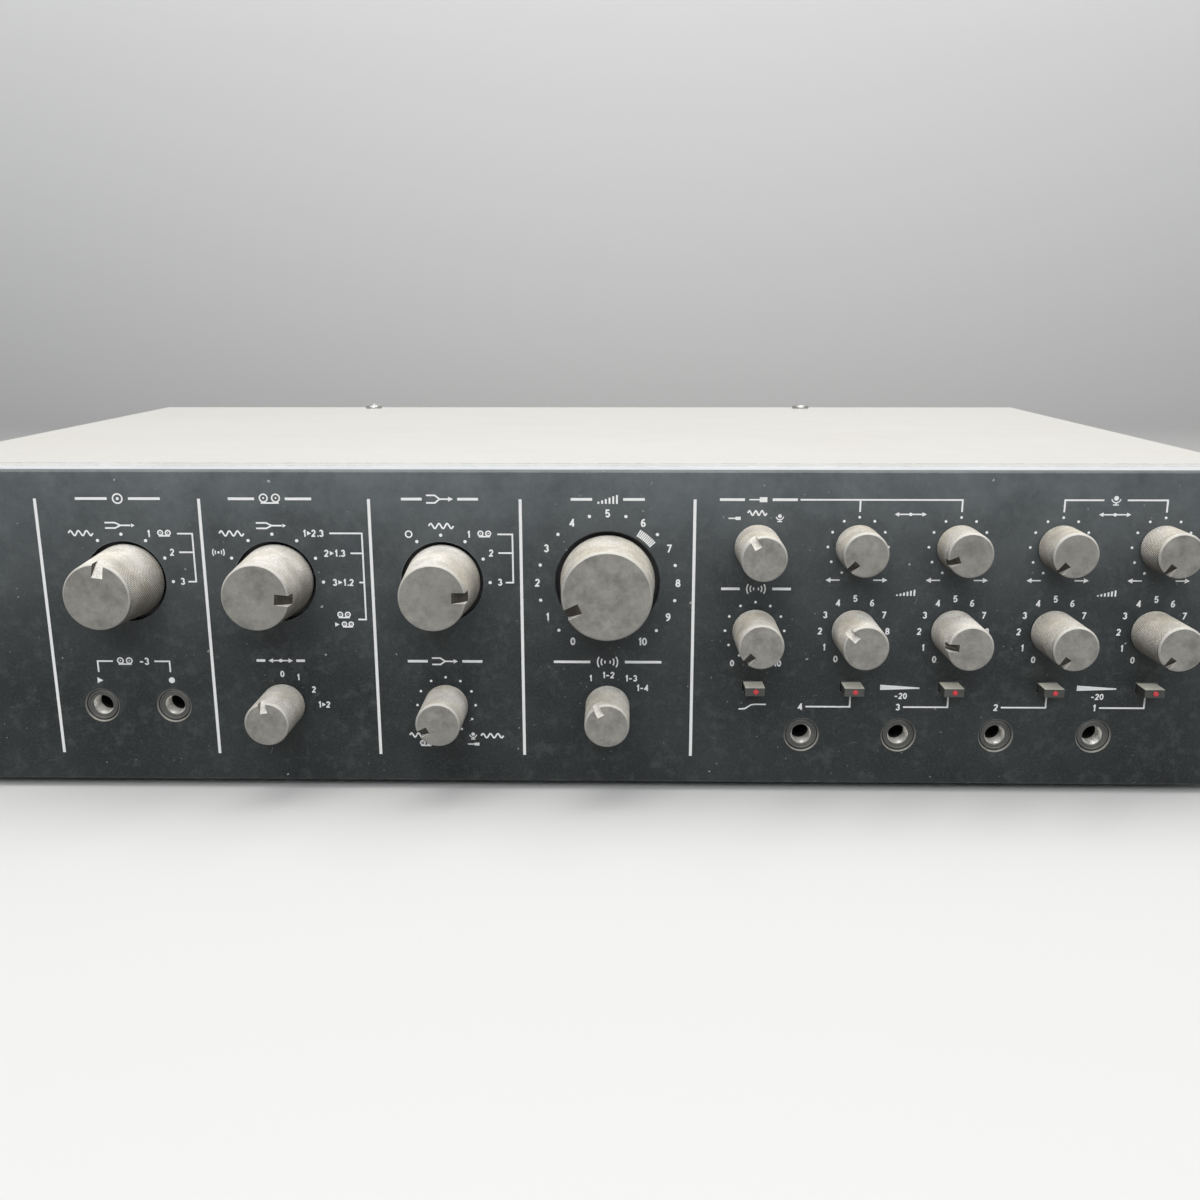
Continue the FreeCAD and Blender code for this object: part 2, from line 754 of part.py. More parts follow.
def make_push_switches():
    switches = []
    for family, across, up in BUTTONS.values():
        _, travel, width, tall, depth = button_sizes(family)
        z = f"panel_z + {up}"
        case = block(across, "mount_y", z, width, depth, tall)
        slot = block(across, "mount_y - 1", z, "stem_width + 2 * stem_slack",
                     f"stem_reach + {travel} + end_gap + 1", "stem_tall + 2 * stem_slack")
        switches.append(cut(case, [slot]))
    node(group(switches), "push_switches")


# Sockets

def make_jack_sockets():
    jacks = []
    for across, up in JACKS:
        z = f"panel_z + {up}"
        start = "front_y + jack_sink"
        bush = rod(across, start, z, "jack_bush_rad", f"mount_y - ({start}) + 1")
        case = block(across, "mount_y", z, "jack_block", "jack_block_deep", "jack_block")
        bore = rod(across, f"{start} - 1", z, "jack_bore_rad", "jack_bore_deep + 1")
        jacks.append(cut(fuse([bush, case]), [bore]))
    node(group(jacks), "jack_sockets")


def make_phono_plates():
    """Insulating strips inside the rear panel that carry the phono sockets."""
    plates = []
    for across in ("phono_left_across", "phono_right_across"):
        body = new_body("Strip")
        sketch = new_sketch(body, "XZ_Plane")
        draw_rectangle(sketch, "0", "0", "4 * phono_pitch + 2 * phono_margin",
                       "phono_row_pitch + 2 * phono_margin")
        for column, row in PHONO_GRID:
            draw_circle(sketch, f"phono_margin + {column + 2} * phono_pitch",
                        f"phono_margin + {(row + 1) // 2} * phono_row_pitch", "phono_tail_rad + push_gap")
        pad(body, sketch, "phono_plate_thick")
        put(body, f"{across} - 2 * phono_pitch - phono_margin", "rear_y - sheet - phono_plate_thick",
            "panel_z + phono_up - phono_row_pitch / 2 - phono_margin")
        plates.append(body)
    node(group(plates), "phono_plates")


def make_phono_sockets():
    """Tail through the strip, a flange against it, and the barrel that the plug slides over."""
    shoulder = "phono_tail + phono_plate_thick"
    end = f"{shoulder} + sheet + phono_out"
    sockets = []
    for x, z in phono_places():
        body = turned("Socket", [
            ("0", "0"), ("0", "phono_tail_rad"), (shoulder, "phono_tail_rad"),
            (shoulder, "phono_flange_rad"), (f"{shoulder} + phono_flange", "phono_flange_rad"),
            (f"{shoulder} + phono_flange", "phono_rad"), (end, "phono_rad"), (end, "phono_pin_rad"),
            (f"{end} - phono_pin_deep", "phono_pin_rad"), (f"{end} - phono_pin_deep", "0")])
        put(body, x, f"rear_y - sheet - ({shoulder})", z)
        sockets.append(body)
    node(group(sockets), "phono_sockets")


def make_cord_bushing():
    """Moulded gland for the mains cord, snapped into the rear panel."""
    neck_end = "bushing_in + sheet"
    end = f"{neck_end} + bushing_out"
    body = turned("Gland", [
        ("0", "cord_bore_rad"), ("0", "bushing_base_rad"), ("bushing_in", "bushing_base_rad"),
        ("bushing_in", "bushing_neck_rad"), (neck_end, "bushing_neck_rad"),
        (neck_end, "bushing_base_rad"), (f"{neck_end} + bushing_flange", "bushing_base_rad"),
        (end, "bushing_tip_rad"), (end, "cord_bore_rad")])
    put(body, "cord_across", "rear_y - sheet - bushing_in", "panel_z + cord_up")
    node(body, "cord_bushing")


def make_fuse_holder():
    cap_start = "fuse_in + sheet + fuse_flange"
    end = "fuse_in + sheet + fuse_out"
    body = turned("Holder", [
        ("0", "0"), ("0", "fuse_barrel_rad"), ("fuse_in + sheet", "fuse_barrel_rad"),
        ("fuse_in + sheet", "fuse_flange_rad"), (cap_start, "fuse_flange_rad"),
        (cap_start, "fuse_cap_rad"), (end, "fuse_cap_rad"), (end, "0")])
    put(body, "fuse_across", "rear_y - sheet - fuse_in", "panel_z + fuse_up")
    node(body, "fuse_holder")


# Inside the case

def make_board_standoffs():
    posts = []
    for x, y in standoff_places():
        post = rod(x, y, "floor_z", "standoff_rad", "board_lift", "z")
        hole = rod(x, y, "floor_z + 1", "screw_hole_rad", "board_lift", "z")
        posts.append(cut(post, [hole]))
    node(group(posts), "board_standoffs")


def make_circuit_board():
    """Board with its tall parts: a row of smoothing capacitors and a row of relays."""
    y = "front_y + board_front"
    z = "floor_z + board_lift"
    top = f"{z} + board_thick"
    plate = slab("board_across", y, z, "board_width", "board_depth", "board_thick")
    holes = [rod(x, hole_y, f"{z} - 1", "screw_hole_rad", "board_thick + 2", "z")
             for x, hole_y in standoff_places()]
    tall_parts = [rod(f"board_across - board_width / 3 + {step} * capacitor_pitch",
                      f"{y} + board_depth / 2", top, "capacitor_rad", "capacitor_tall", "z")
                  for step in range(-1, 2)]
    tall_parts += [slab(f"board_across + {step} * board_width / 8", f"{y} + board_depth / 4", top,
                        "relay_length", "relay_width", "relay_tall") for step in range(0, 4)]
    node(group([cut(plate, holes)] + tall_parts), "circuit_board")


def make_power_transformer():
    """Laminated core with two windows, the winding on its middle leg, and the foot plate."""
    x, y, low = "transformer_across", "front_y + transformer_front", "floor_z + sheet"
    window = "((core_width - 2 * core_leg) / 2)"
    window_tall = "(core_tall - core_leg)"
    core = slab(x, y, low, "core_width", "core_depth", "core_tall")
    windows = [slab(f"{x} + {side} * (core_leg + {window}) / 2", f"{y} - 1", f"{low} + core_leg / 2",
                    window, "core_depth + 2", window_tall) for side in (-1, 1)]
    bobbin = slab(x, f"{y} - (winding_depth - core_depth) / 2", f"{low} + core_leg / 2 + winding_gap",
                  f"core_leg + 2 * {window} - 2 * winding_gap", "winding_depth",
                  f"{window_tall} - 2 * winding_gap")
    leg = slab(x, f"{y} - winding_gap", low, "core_leg + 2 * winding_gap",
               "core_depth + 2 * winding_gap", "core_tall")
    foot_plate = slab(x, y, "floor_z", "core_width + 2 * transformer_foot", "core_depth", "sheet")
    node(group([cut(core, windows), cut(bobbin, [leg]), foot_plate]), "power_transformer")


def make_reverb_tank():
    """Open steel channel with a transducer at each end and delay springs between them."""
    x, y = "tank_across", "front_y + tank_front"
    shell = slab(x, y, "floor_z", "tank_width", "tank_depth", "tank_tall")
    hollow = slab(x, f"{y} + tank_wall", "floor_z + tank_wall", "tank_width - 2 * tank_wall",
                  "tank_depth - 2 * tank_wall", "tank_tall")
    inside = "(tank_width / 2 - tank_wall)"
    ends = [box(f"{x} + {side} * {inside} - {(side + 1) // 2} * transducer_length", f"{y} + tank_wall",
                "floor_z + tank_wall", "transducer_length", "tank_depth - 2 * tank_wall",
                "spring_lift + 2 * spring_rad") for side in (-1, 1)]
    springs = [rod(f"{x} - {inside} + transducer_length", f"{y} + tank_depth / 2 + {row} * spring_pitch",
                   "floor_z + tank_wall + spring_lift", "spring_rad",
                   f"2 * {inside} - 2 * transducer_length", "x") for row in (-1, 0, 1)]
    node(group([cut(shell, [hollow])] + ends + springs), "reverb_tank")


make_front_panel()
make_front_chassis()
make_base_pan()
make_rear_panel()
make_top_cover()
make_feet()
make_case_screws()
make_panel_nuts()
for name, (family, across, up, out, turns) in ROTARY.items():
    make_knob(name, family, across, up, out)
    make_shaft(name, across, up, out, turns)
make_potentiometers()
make_rotary_switches()
for name, (family, across, up) in BUTTONS.items():
    make_button(name, family, across, up)
make_push_switches()
make_jack_sockets()
make_phono_plates()
make_phono_sockets()
make_cord_bushing()
make_fuse_holder()
make_board_standoffs()
make_circuit_board()
make_power_transformer()
make_reverb_tank()
doc.recompute()

for item in doc.Objects:
    if "Invalid" in item.State or "Error" in item.State:
        raise RuntimeError(f"{item.Name} ({item.Label}) failed to compute")
for part in parts:
    if part.Shape.isNull() or not part.Shape.isValid() or not part.Shape.Solids:
        raise RuntimeError(f"{part.Label} has no valid solid")

os.makedirs("parts", exist_ok=True)
for part in parts:
    part.Shape.exportStep(f"parts/{part.Label}.step")
    print(part.Label, len(part.Shape.Solids), round(part.Shape.Volume, 1))
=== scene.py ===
import json
import math
import random

import bmesh
import bpy
from mathutils import Matrix, Vector


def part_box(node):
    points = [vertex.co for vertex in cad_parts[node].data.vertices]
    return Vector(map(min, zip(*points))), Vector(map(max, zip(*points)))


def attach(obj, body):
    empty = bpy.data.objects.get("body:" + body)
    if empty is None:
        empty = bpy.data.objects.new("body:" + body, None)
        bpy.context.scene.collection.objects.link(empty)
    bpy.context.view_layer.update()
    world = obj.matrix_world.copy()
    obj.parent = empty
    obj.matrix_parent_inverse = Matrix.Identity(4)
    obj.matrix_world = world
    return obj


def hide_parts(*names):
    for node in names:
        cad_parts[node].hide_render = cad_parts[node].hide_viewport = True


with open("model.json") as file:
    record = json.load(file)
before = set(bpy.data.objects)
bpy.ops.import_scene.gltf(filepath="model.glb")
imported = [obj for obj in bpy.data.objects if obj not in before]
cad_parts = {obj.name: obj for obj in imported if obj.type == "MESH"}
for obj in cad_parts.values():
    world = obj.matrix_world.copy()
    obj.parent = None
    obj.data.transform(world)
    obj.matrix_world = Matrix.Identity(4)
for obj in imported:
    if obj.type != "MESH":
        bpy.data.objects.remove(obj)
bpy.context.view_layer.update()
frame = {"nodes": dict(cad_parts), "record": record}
mm = 0.001
scene = bpy.context.scene
nodes = frame["nodes"]
bodyOf = {node: body for body, members in frame["record"]["behaviour"]["bodies"].items() for node in members}
mounts = {mount["name"]: mount["pos_m"] for mount in frame["record"]["mounts"]}
phonoMounts = {name: spot for name, spot in mounts.items() if name.startswith("phono_")}
jackMounts = {name: spot for name, spot in mounts.items() if name.endswith("_jack")}
panelLow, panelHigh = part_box("front_panel")
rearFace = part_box("rear_panel")[1].y
random.seed(7)
print("frame loaded:", len(nodes), "nodes")


def onPanel(across, up, out):  # millimetres from the panel's middle, lower edge and front face
    return Vector((across * mm, panelLow.y - out * mm, panelLow.z + up * mm))


def onRear(across, up, out):  # the same, read by someone who stands behind the case
    return Vector((-across * mm, rearFace + out * mm, panelLow.z + up * mm))


def controlPlace(node):  # middle of a control, in the panel's millimetres
    low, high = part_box(node)
    return (low.x + high.x) / 2 / mm, ((low.z + high.z) / 2 - panelLow.z) / mm


shading = {}  # the node tree, material and shader that are being built


def give(socket, value):  # links a socket, or sets its constant
    if isinstance(value, bpy.types.NodeSocket):
        shading["tree"].links.new(value, socket)
    elif isinstance(value, tuple) and len(value) == 3 and socket.type == "RGBA":
        socket.default_value = (*value, 1.0)
    else:
        socket.default_value = value


def addNode(kind, inputs=None, **settings):
    node = shading["tree"].nodes.new(kind)
    for name, setting in settings.items():
        setattr(node, name, setting)
    for name, value in (inputs or {}).items():
        give(node.inputs[name], value)
    return node


def mathNode(operation, first, second, clamp=False):
    return addNode("ShaderNodeMath", {0: first, 1: second}, operation=operation, use_clamp=clamp).outputs[0]


def times(first, second, clamp=False):
    return mathNode("MULTIPLY", first, second, clamp)


def plus(first, second, clamp=False):
    return mathNode("ADD", first, second, clamp)


def larger(first, second):
    return mathNode("MAXIMUM", first, second)


def mixColour(factor, first, second):
    return addNode("ShaderNodeMix", {0: factor, 6: first, 7: second}, data_type="RGBA").outputs[2]


def spread(value, low, high, newLow=0.0, newHigh=1.0):
    return addNode("ShaderNodeMapRange", {
        "Value": value, "From Min": low, "From Max": high, "To Min": newLow, "To Max": newHigh}).outputs[0]


def objectPoint(scale=(1.0, 1.0, 1.0)):
    place = addNode("ShaderNodeTexCoord").outputs["Object"]
    return addNode("ShaderNodeMapping", {"Vector": place, "Scale": scale}).outputs[0]


def noise(place, scale, detail, roughness=0.55):
    return addNode("ShaderNodeTexNoise", {
        "Vector": place, "Scale": scale, "Detail": detail, "Roughness": roughness}).outputs["Fac"]


def patchy(place, scale, detail, roughness, low, high, newLow=0.0, newHigh=1.0):
    return spread(noise(place, scale, detail, roughness), low, high, newLow, newHigh)


def newGroup(name, inputs, outputs):
    tree = bpy.data.node_groups.new(name, "ShaderNodeTree")
    for label, start in inputs.items():
        isColour = isinstance(start, tuple)
        kind = "NodeSocketColor" if isColour else "NodeSocketFloat"
        socket = tree.interface.new_socket(label, in_out="INPUT", socket_type=kind)
        socket.default_value = (*start, 1.0) if isColour else start
    for label in outputs:
        kind = "NodeSocketColor" if label == "Color" else "NodeSocketFloat"
        tree.interface.new_socket(label, in_out="OUTPUT", socket_type=kind)
    shading["tree"] = tree
    return tree, addNode("NodeGroupInput").outputs, addNode("NodeGroupOutput").inputs


def makeDustGroup():  # an even film, and more of it where the surface faces up: settled dust, and in some finishes painted light from above
    tree, given, out = newGroup(
        "dustAndTopLight",
        {"Color": (0.1, 0.1, 0.1), "Dust Color": (0.5, 0.48, 0.43), "Film": 0.1, "Settled": 0.5,
         "Patch Scale": 60.0, "Bare Below": -0.2, "Full Above": 0.85},
        ("Color", "Mask"))
    normal = addNode("ShaderNodeNewGeometry").outputs["Normal"]
    upward = addNode("ShaderNodeSeparateXYZ", {0: normal}).outputs["Z"]
    facing = spread(upward, given["Bare Below"], given["Full Above"])
    place = objectPoint()
    patches = patchy(place, given["Patch Scale"], 5.0, 0.62, 0.30, 0.72)
    fine = patchy(place, 2600.0, 2.0, 0.55, 0.35, 0.75, 0.7, 1.1)
    settled = times(facing, given["Settled"])
    settled = times(settled, spread(patches, 0.0, 1.0, 0.70, 1.1))
    film = times(given["Film"], patches)
    mask = times(plus(settled, film), fine, clamp=True)
    give(out["Color"], mixColour(mask, given["Color"], given["Dust Color"]))
    give(out["Mask"], mask)
    return tree


def makeEdgeGroup():  # corners rubbed through, broken up by noise
    tree, given, out = newGroup(
        "edgeWear", {"Radius": 0.0006, "Amount": 0.6, "Breakup Scale": 500.0}, ("Mask",))
    rounded = addNode("ShaderNodeBevel", {"Radius": given["Radius"]}, samples=4).outputs[0]
    normal = addNode("ShaderNodeNewGeometry").outputs["Normal"]
    likeness = addNode("ShaderNodeVectorMath", {0: rounded, 1: normal}, operation="DOT_PRODUCT")
    edge = spread(likeness.outputs["Value"], 0.985, 0.86)
    broken = patchy(objectPoint(), given["Breakup Scale"], 4.0, 0.7, 0.38, 0.60)
    mask = times(times(edge, broken), given["Amount"], clamp=True)
    give(out["Mask"], mask)
    return tree


def makeSpeckGroup():  # crumbs and chips of uneven outline, one to a cell
    tree, given, out = newGroup("specks", {"Scale": 400.0, "Share": 0.08, "Size": 0.12}, ("Mask",))
    place = objectPoint()
    drift = addNode("ShaderNodeTexNoise", {"Vector": place, "Scale": 1700.0}).outputs["Color"]
    shift = addNode("ShaderNodeVectorMath", {0: drift, 1: (0.0009, 0.0009, 0.0009)}, operation="MULTIPLY")
    wobble = addNode("ShaderNodeVectorMath", {0: place, 1: shift.outputs[0]}, operation="ADD")
    cells = addNode("ShaderNodeTexVoronoi", {"Vector": wobble.outputs[0], "Scale": given["Scale"]})
    chance = addNode("ShaderNodeSeparateColor", {"Color": cells.outputs["Color"]}).outputs
    chosen = mathNode("LESS_THAN", chance["Red"], given["Share"])
    reach = times(given["Size"], spread(chance["Green"], 0.0, 1.0, 0.35, 1.0))
    near = mathNode("LESS_THAN", cells.outputs["Distance"], reach)
    give(out["Mask"], times(chosen, near))
    return tree


def makeScratchGroup():  # short straight scratches in four directions, on any face
    tree, given, out = newGroup(
        "fineScratches", {"Scale": 130.0, "Width": 0.02, "Share": 0.3}, ("Mask",))
    point = addNode("ShaderNodeSeparateXYZ", {0: objectPoint()}).outputs
    across = plus(point["X"], times(point["Y"], 0.77))
    along = plus(times(point["X"], 0.4), mathNode("SUBTRACT", point["Z"], times(point["Y"], 0.6)))
    flat = addNode("ShaderNodeCombineXYZ", {0: across, 1: along}).outputs[0]
    mask = None
    for number, turn in enumerate((0.25, 1.05, 1.75, 2.6)):
        lane = addNode("ShaderNodeVectorRotate", {"Vector": flat, "Angle": turn}, rotation_type="Z_AXIS")
        thin = addNode("ShaderNodeMapping", {
            "Vector": lane.outputs[0], "Location": (3.1 * number, 1.7, 0.0), "Scale": (1.0, 0.035, 1.0)})
        cells = addNode("ShaderNodeTexVoronoi", {
            "Vector": thin.outputs[0], "Scale": given["Scale"]}, voronoi_dimensions="2D")
        chance = addNode("ShaderNodeSeparateColor", {"Color": cells.outputs["Color"]}).outputs
        reach = times(given["Width"], spread(chance["Green"], 0.0, 1.0, 0.25, 1.0))
        line = mathNode("LESS_THAN", cells.outputs["Distance"], reach)
        line = times(line, mathNode("LESS_THAN", chance["Red"], given["Share"]))
        mask = line if mask is None else larger(mask, line)
    give(out["Mask"], mask)
    return tree


groups = {"dust": makeDustGroup(), "edge": makeEdgeGroup(), "speck": makeSpeckGroup(),
          "scratch": makeScratchGroup()}


def useGroup(name, **values):
    node = addNode("ShaderNodeGroup", node_tree=groups[name])
    for label, value in values.items():
        give(node.inputs[label.replace("_", " ")], value)
    return node.outputs


def newMaterial(name, **constants):
    material = bpy.data.materials.new(name)
    material.use_nodes = True
    inputs = material.node_tree.nodes["Principled BSDF"].inputs
    shading.update(tree=material.node_tree, material=material, inputs=inputs)
    for label, value in constants.items():
        give(inputs[label.replace("_", " ")], value)


def feed(colour, roughness=None, metallic=None, height=None, depth=0.0):
    inputs = shading["inputs"]
    for label, value in (("Base Color", colour), ("Roughness", roughness), ("Metallic", metallic)):
        if value is not None:
            give(inputs[label], value)
    if height is not None:
        give(inputs["Normal"], addNode("ShaderNodeBump", {"Height": height, "Distance": depth}).outputs[0])
    return shading["material"]


def dusted(colour, dust, film, settled, patchScale, **limits):
    return useGroup("dust", Color=colour, Dust_Color=dust, Film=film, Settled=settled, Patch_Scale=patchScale,
                    **limits)


def specks(**values):
    return useGroup("speck", **values)["Mask"]


def scratched(**values):
    return useGroup("scratch", **values)["Mask"]


def duller(rough, dustAndLight, share):  # dust takes the shine away
    return plus(rough, times(dustAndLight["Mask"], share), clamp=True)


def stronger(first, firstShare, second, secondShare):
    return larger(times(first, firstShare), times(second, secondShare))


def heightAbove(low, high):  # 0 at the one height and 1 at the other, in metres
    up = addNode("ShaderNodeSeparateXYZ", {0: objectPoint()}).outputs["Z"]
    return spread(up, low, high)


def makePanelBlack():  # black anodised plate: brushed along its length, with a painted sheen that grows towards the top
    look = {"black": (0.009, 0.012, 0.013), "smoky": (0.030, 0.036, 0.037), "sheenAndSmudge": (0.175, 0.195, 0.205),
            "blotch": (0.078, 0.086, 0.084), "bare": (0.40, 0.41, 0.41), "dust": (0.55, 0.56, 0.54)}
    newMaterial("panelBlack", Specular_IOR_Level=0.25)
    place = objectPoint()
    brushed = noise(objectPoint((1.0, 1.0, 60.0)), 90.0, 4.0, 0.7)
    smoke = patchy(place, 24.0, 6.0, 0.70, 0.34, 0.70)
    colour = mixColour(smoke, look["black"], look["smoky"])
    blotch = patchy(place, 200.0, 6.0, 0.80, 0.51, 0.69, 0.0, 0.66)
    colour = mixColour(blotch, colour, look["blotch"])
    grain = patchy(place, 1300.0, 3.0, 0.8, 0.47, 0.72, 0.0, 0.45)
    colour = mixColour(grain, colour, look["blotch"])
    # painted sheen: a pale grey film that grows towards the top edge, broken into patches
    topward = mathNode("POWER", heightAbove(panelLow.z + 20 * mm, panelHigh.z), 2.0)
    cloudy = patchy(place, 40.0, 6.0, 0.75, 0.25, 0.75, 0.35, 1.25)
    paintedTopSheen = times(times(topward, cloudy), 0.80, clamp=True)
    colour = mixColour(paintedTopSheen, colour, look["sheenAndSmudge"])
    wipes = patchy(objectPoint((1.0, 1.0, 2.6)), 55.0, 8.0, 0.78, 0.60, 0.80, 0.0, 0.22)
    colour = mixColour(wipes, colour, look["sheenAndSmudge"])
    scratches = scratched(Scale=170.0, Width=0.012, Share=0.16)
    lint = scratched(Scale=330.0, Width=0.016, Share=0.035)
    strokes = stronger(scratches, 0.20, lint, 0.55)
    colour = mixColour(strokes, colour, look["bare"])
    crumbs = specks(Scale=135.0, Share=0.28, Size=0.058)
    fluff = specks(Scale=420.0, Share=0.22, Size=0.12)
    fluff = times(fluff, patchy(place, 20.0, 3.0, 0.55, 0.42, 0.66, 0.05, 0.65))
    dirt = larger(times(crumbs, 0.75), fluff)
    colour = mixColour(dirt, colour, look["dust"])
    dustAndLight = dusted(colour, look["dust"], 0.010, 0.10, 38.0)
    edge = useGroup("edge", Radius=0.0005, Amount=0.45, Breakup_Scale=420.0)["Mask"]
    rough = duller(spread(brushed, 0.2, 0.8, 0.38, 0.52), dustAndLight, 0.5)
    return feed(mixColour(edge, dustAndLight["Color"], look["bare"]), rough,
                height=mathNode("SUBTRACT", brushed, scratches), depth=0.000010)


def makeCoverEnamel():  # off-white stove enamel, slightly yellowed and scuffed
    look = {"pale": (0.745, 0.738, 0.705), "yellowed": (0.700, 0.680, 0.620), "grime": (0.34, 0.32, 0.28),
            "chipped": (0.36, 0.35, 0.34), "dust": (0.62, 0.60, 0.55)}
    newMaterial("coverEnamel", Specular_IOR_Level=0.45)
    place = objectPoint()
    peel = noise(place, 900.0, 2.0)
    stain = patchy(place, 9.0, 6.0, 0.62, 0.40, 0.80)
    colour = mixColour(stain, look["pale"], look["yellowed"])
    blots = patchy(place, 55.0, 5.0, 0.75, 0.60, 0.78, 0.0, 0.35)
    colour = mixColour(blots, colour, look["yellowed"])
    crumbs = specks(Scale=110.0, Share=0.10, Size=0.05)
    scratches = scratched(Scale=90.0, Width=0.011, Share=0.12)
    marks = stronger(crumbs, 0.65, scratches, 0.32)
    colour = mixColour(marks, colour, look["grime"])
    dustAndLight = dusted(colour, look["dust"], 0.10, 0.12, 24.0)
    edge = useGroup("edge", Radius=0.0006, Amount=0.70, Breakup_Scale=260.0)["Mask"]
    rough = duller(spread(stain, 0.0, 1.0, 0.34, 0.48), dustAndLight, 0.8)
    return feed(mixColour(edge, dustAndLight["Color"], look["chipped"]), rough,
                height=mathNode("SUBTRACT", peel, scratches), depth=0.00003)


def makeSheetMetal(name, colour, shade, stretch, rough, metal=1.0, paintedShadeBelow=None):  # drawn and plated
    newMaterial(name)
    grain = noise(objectPoint(stretch), 120.0, 4.0, 0.7)
    cloud = patchy(objectPoint(), 34.0, 5.0, 0.6, 0.35, 0.75)
    base = mixColour(cloud, colour, shade)
    scratches = scratched(Scale=140.0, Width=0.014, Share=0.25)
    base = mixColour(times(scratches, 0.35), base, shade)
    dustAndLight = dusted(base, (0.58, 0.58, 0.55), 0.08, 0.12, 45.0)
    final = dustAndLight["Color"]
    metallic = spread(dustAndLight["Mask"], 0.0, 0.5, metal, metal * 0.2)
    if paintedShadeBelow is not None:  # the web behind the panel is coloured near-black as painted shade seen through the knob holes, its top flange stays bare
        bare = heightAbove(paintedShadeBelow - 0.3 * mm, paintedShadeBelow)
        final = mixColour(bare, (0.010, 0.010, 0.010), final)
        metallic = times(metallic, bare)
    roughness = duller(spread(grain, 0.25, 0.75, rough - 0.07, rough + 0.10), dustAndLight, 0.7)
    return feed(final, roughness, metallic, grain, 0.00001)


def makeKnobSide():  # knurled aluminium that holds brown grime below and pale dust above; the pale top is dust and painted light from above
    look = {"dark": (0.055, 0.048, 0.040), "worn": (0.14, 0.125, 0.105), "pale": (0.93, 0.905, 0.855),
            "yellowed": (0.76, 0.70, 0.56), "packed": (0.15, 0.125, 0.095)}
    newMaterial("knobSide")
    place = objectPoint()
    worn = patchy(place, 170.0, 4.0, 0.65, 0.33, 0.68)
    colour = mixColour(worn, look["dark"], look["worn"])
    raised = addNode("ShaderNodeNewGeometry").outputs["Pointiness"]
    packed = spread(raised, 0.46, 0.50, 1.0, 0.0)  # dirt packed in the valleys of the knurl
    tint = patchy(place, 75.0, 5.0, 0.7, 0.40, 0.72)
    # pale dust and painted light, kept pale round to the sides where the light still falls
    dustAndLight = dusted(colour, mixColour(tint, look["pale"], look["yellowed"]), 0.10, 1.02, 120.0,
                   Bare_Below=-0.35, Full_Above=0.75)
    packed = times(packed, spread(worn, 0.0, 1.0, 0.60, 0.25))
    final = mixColour(packed, dustAndLight["Color"], look["packed"])
    rough = duller(0.42, dustAndLight, 0.45)
    return feed(final, rough, 0.15, noise(place, 5200.0, 2.0), 0.00001)


def makeKnobFace(name, satin, rubbed, stain, settled):  # blasted end face, mottled by handling
    newMaterial(name)
    place = objectPoint()
    mottled = patchy(place, 190.0, 7.0, 0.78, 0.36, 0.66)
    colour = mixColour(mottled, satin, rubbed)
    stains = patchy(place, 95.0, 4.0, 0.6, 0.56, 0.74, 0.0, 0.45)
    colour = mixColour(stains, colour, stain)
    crumbs = specks(Scale=330.0, Share=0.035, Size=0.10)
    scratches = scratched(Scale=420.0, Width=0.020, Share=0.10)
    marks = stronger(crumbs, 0.7, scratches, 0.20)
    colour = mixColour(marks, colour, (0.58, 0.57, 0.54))
    dustAndLight = dusted(colour, (0.74, 0.72, 0.66), 0.06, settled, 150.0)
    rough = duller(spread(mottled, 0.0, 1.0, 0.38, 0.52), dustAndLight, 0.4)
    return feed(dustAndLight["Color"], rough, 0.25, noise(place, 3600.0, 3.0, 0.7), 0.000016)


def makePointerPaint():  # ivory paint in the notch, which only shows where it faces up: the ivory on upward faces is also painted light, the rest painted shade
    newMaterial("pointerPaintAndShade", Roughness=0.55)
    place = objectPoint()
    # this near-black colour is grime and painted shade where the notch faces away from the light
    grime = mixColour(patchy(place, 700.0, 4.0, 0.55, 0.35, 0.70),
                      (0.012, 0.009, 0.007), (0.055, 0.042, 0.030))
    dustAndLight = dusted(grime, (0.90, 0.87, 0.80), 0.03, 1.05, 420.0, Bare_Below=0.05, Full_Above=0.45)
    return feed(dustAndLight["Color"], height=noise(place, 3000.0, 2.0), depth=0.000010)


def makePaint(name, colour, grime, rough, grimeShare, scale):
    newMaterial(name)
    place = objectPoint()
    dirty = patchy(place, scale, 5.0, 0.7, 0.42, 0.78, 0.0, grimeShare)
    crumbs = times(specks(Scale=900.0, Share=0.10, Size=0.14), 0.45)
    mixed = mixColour(larger(dirty, crumbs), colour, grime)
    return feed(mixed, spread(dirty, 0.0, 0.5, rough, rough + 0.25),
                height=noise(place, 3000.0, 2.0), depth=0.000008)


greyDust = (0.52, 0.50, 0.44)


def makePlastic(name, colour, rough, film, settled, grain=2400.0, depth=0.00002, dust=greyDust, wear=0.30,
                bareBelow=-0.2):
    newMaterial(name)
    place = objectPoint()
    lighter = tuple(channel * 1.5 + 0.010 for channel in colour)
    worn = tuple(channel * 2.2 + 0.045 for channel in colour)
    tone = mixColour(patchy(place, 120.0, 4.0, 0.55, 0.35, 0.7, 0.0, 0.7), colour, lighter)
    dustAndLight = dusted(tone, dust, film, settled, 140.0, Bare_Below=bareBelow)
    edge = useGroup("edge", Radius=0.0003, Amount=wear, Breakup_Scale=700.0)["Mask"]
    roughness = duller(rough, dustAndLight, 0.4)
    return feed(mixColour(edge, dustAndLight["Color"], worn), roughness,
                height=noise(place, grain, 2.0), depth=depth)


def makeBrightMetal(name, colour, rough, tarnish, settled=0.18):
    newMaterial(name)
    place = objectPoint()
    dull = patchy(place, 260.0, 5.0, 0.65, 0.38, 0.75)
    base = mixColour(dull, colour, tarnish)
    dustAndLight = dusted(base, (0.50, 0.48, 0.43), 0.06, settled, 170.0)
    roughness = duller(spread(dull, 0.0, 1.0, rough, rough + 0.22), dustAndLight, 0.5)
    return feed(dustAndLight["Color"], roughness, spread(dustAndLight["Mask"], 0.0, 0.6, 1.0, 0.2),
                noise(place, 1900.0, 3.0, 0.7), 0.00001)


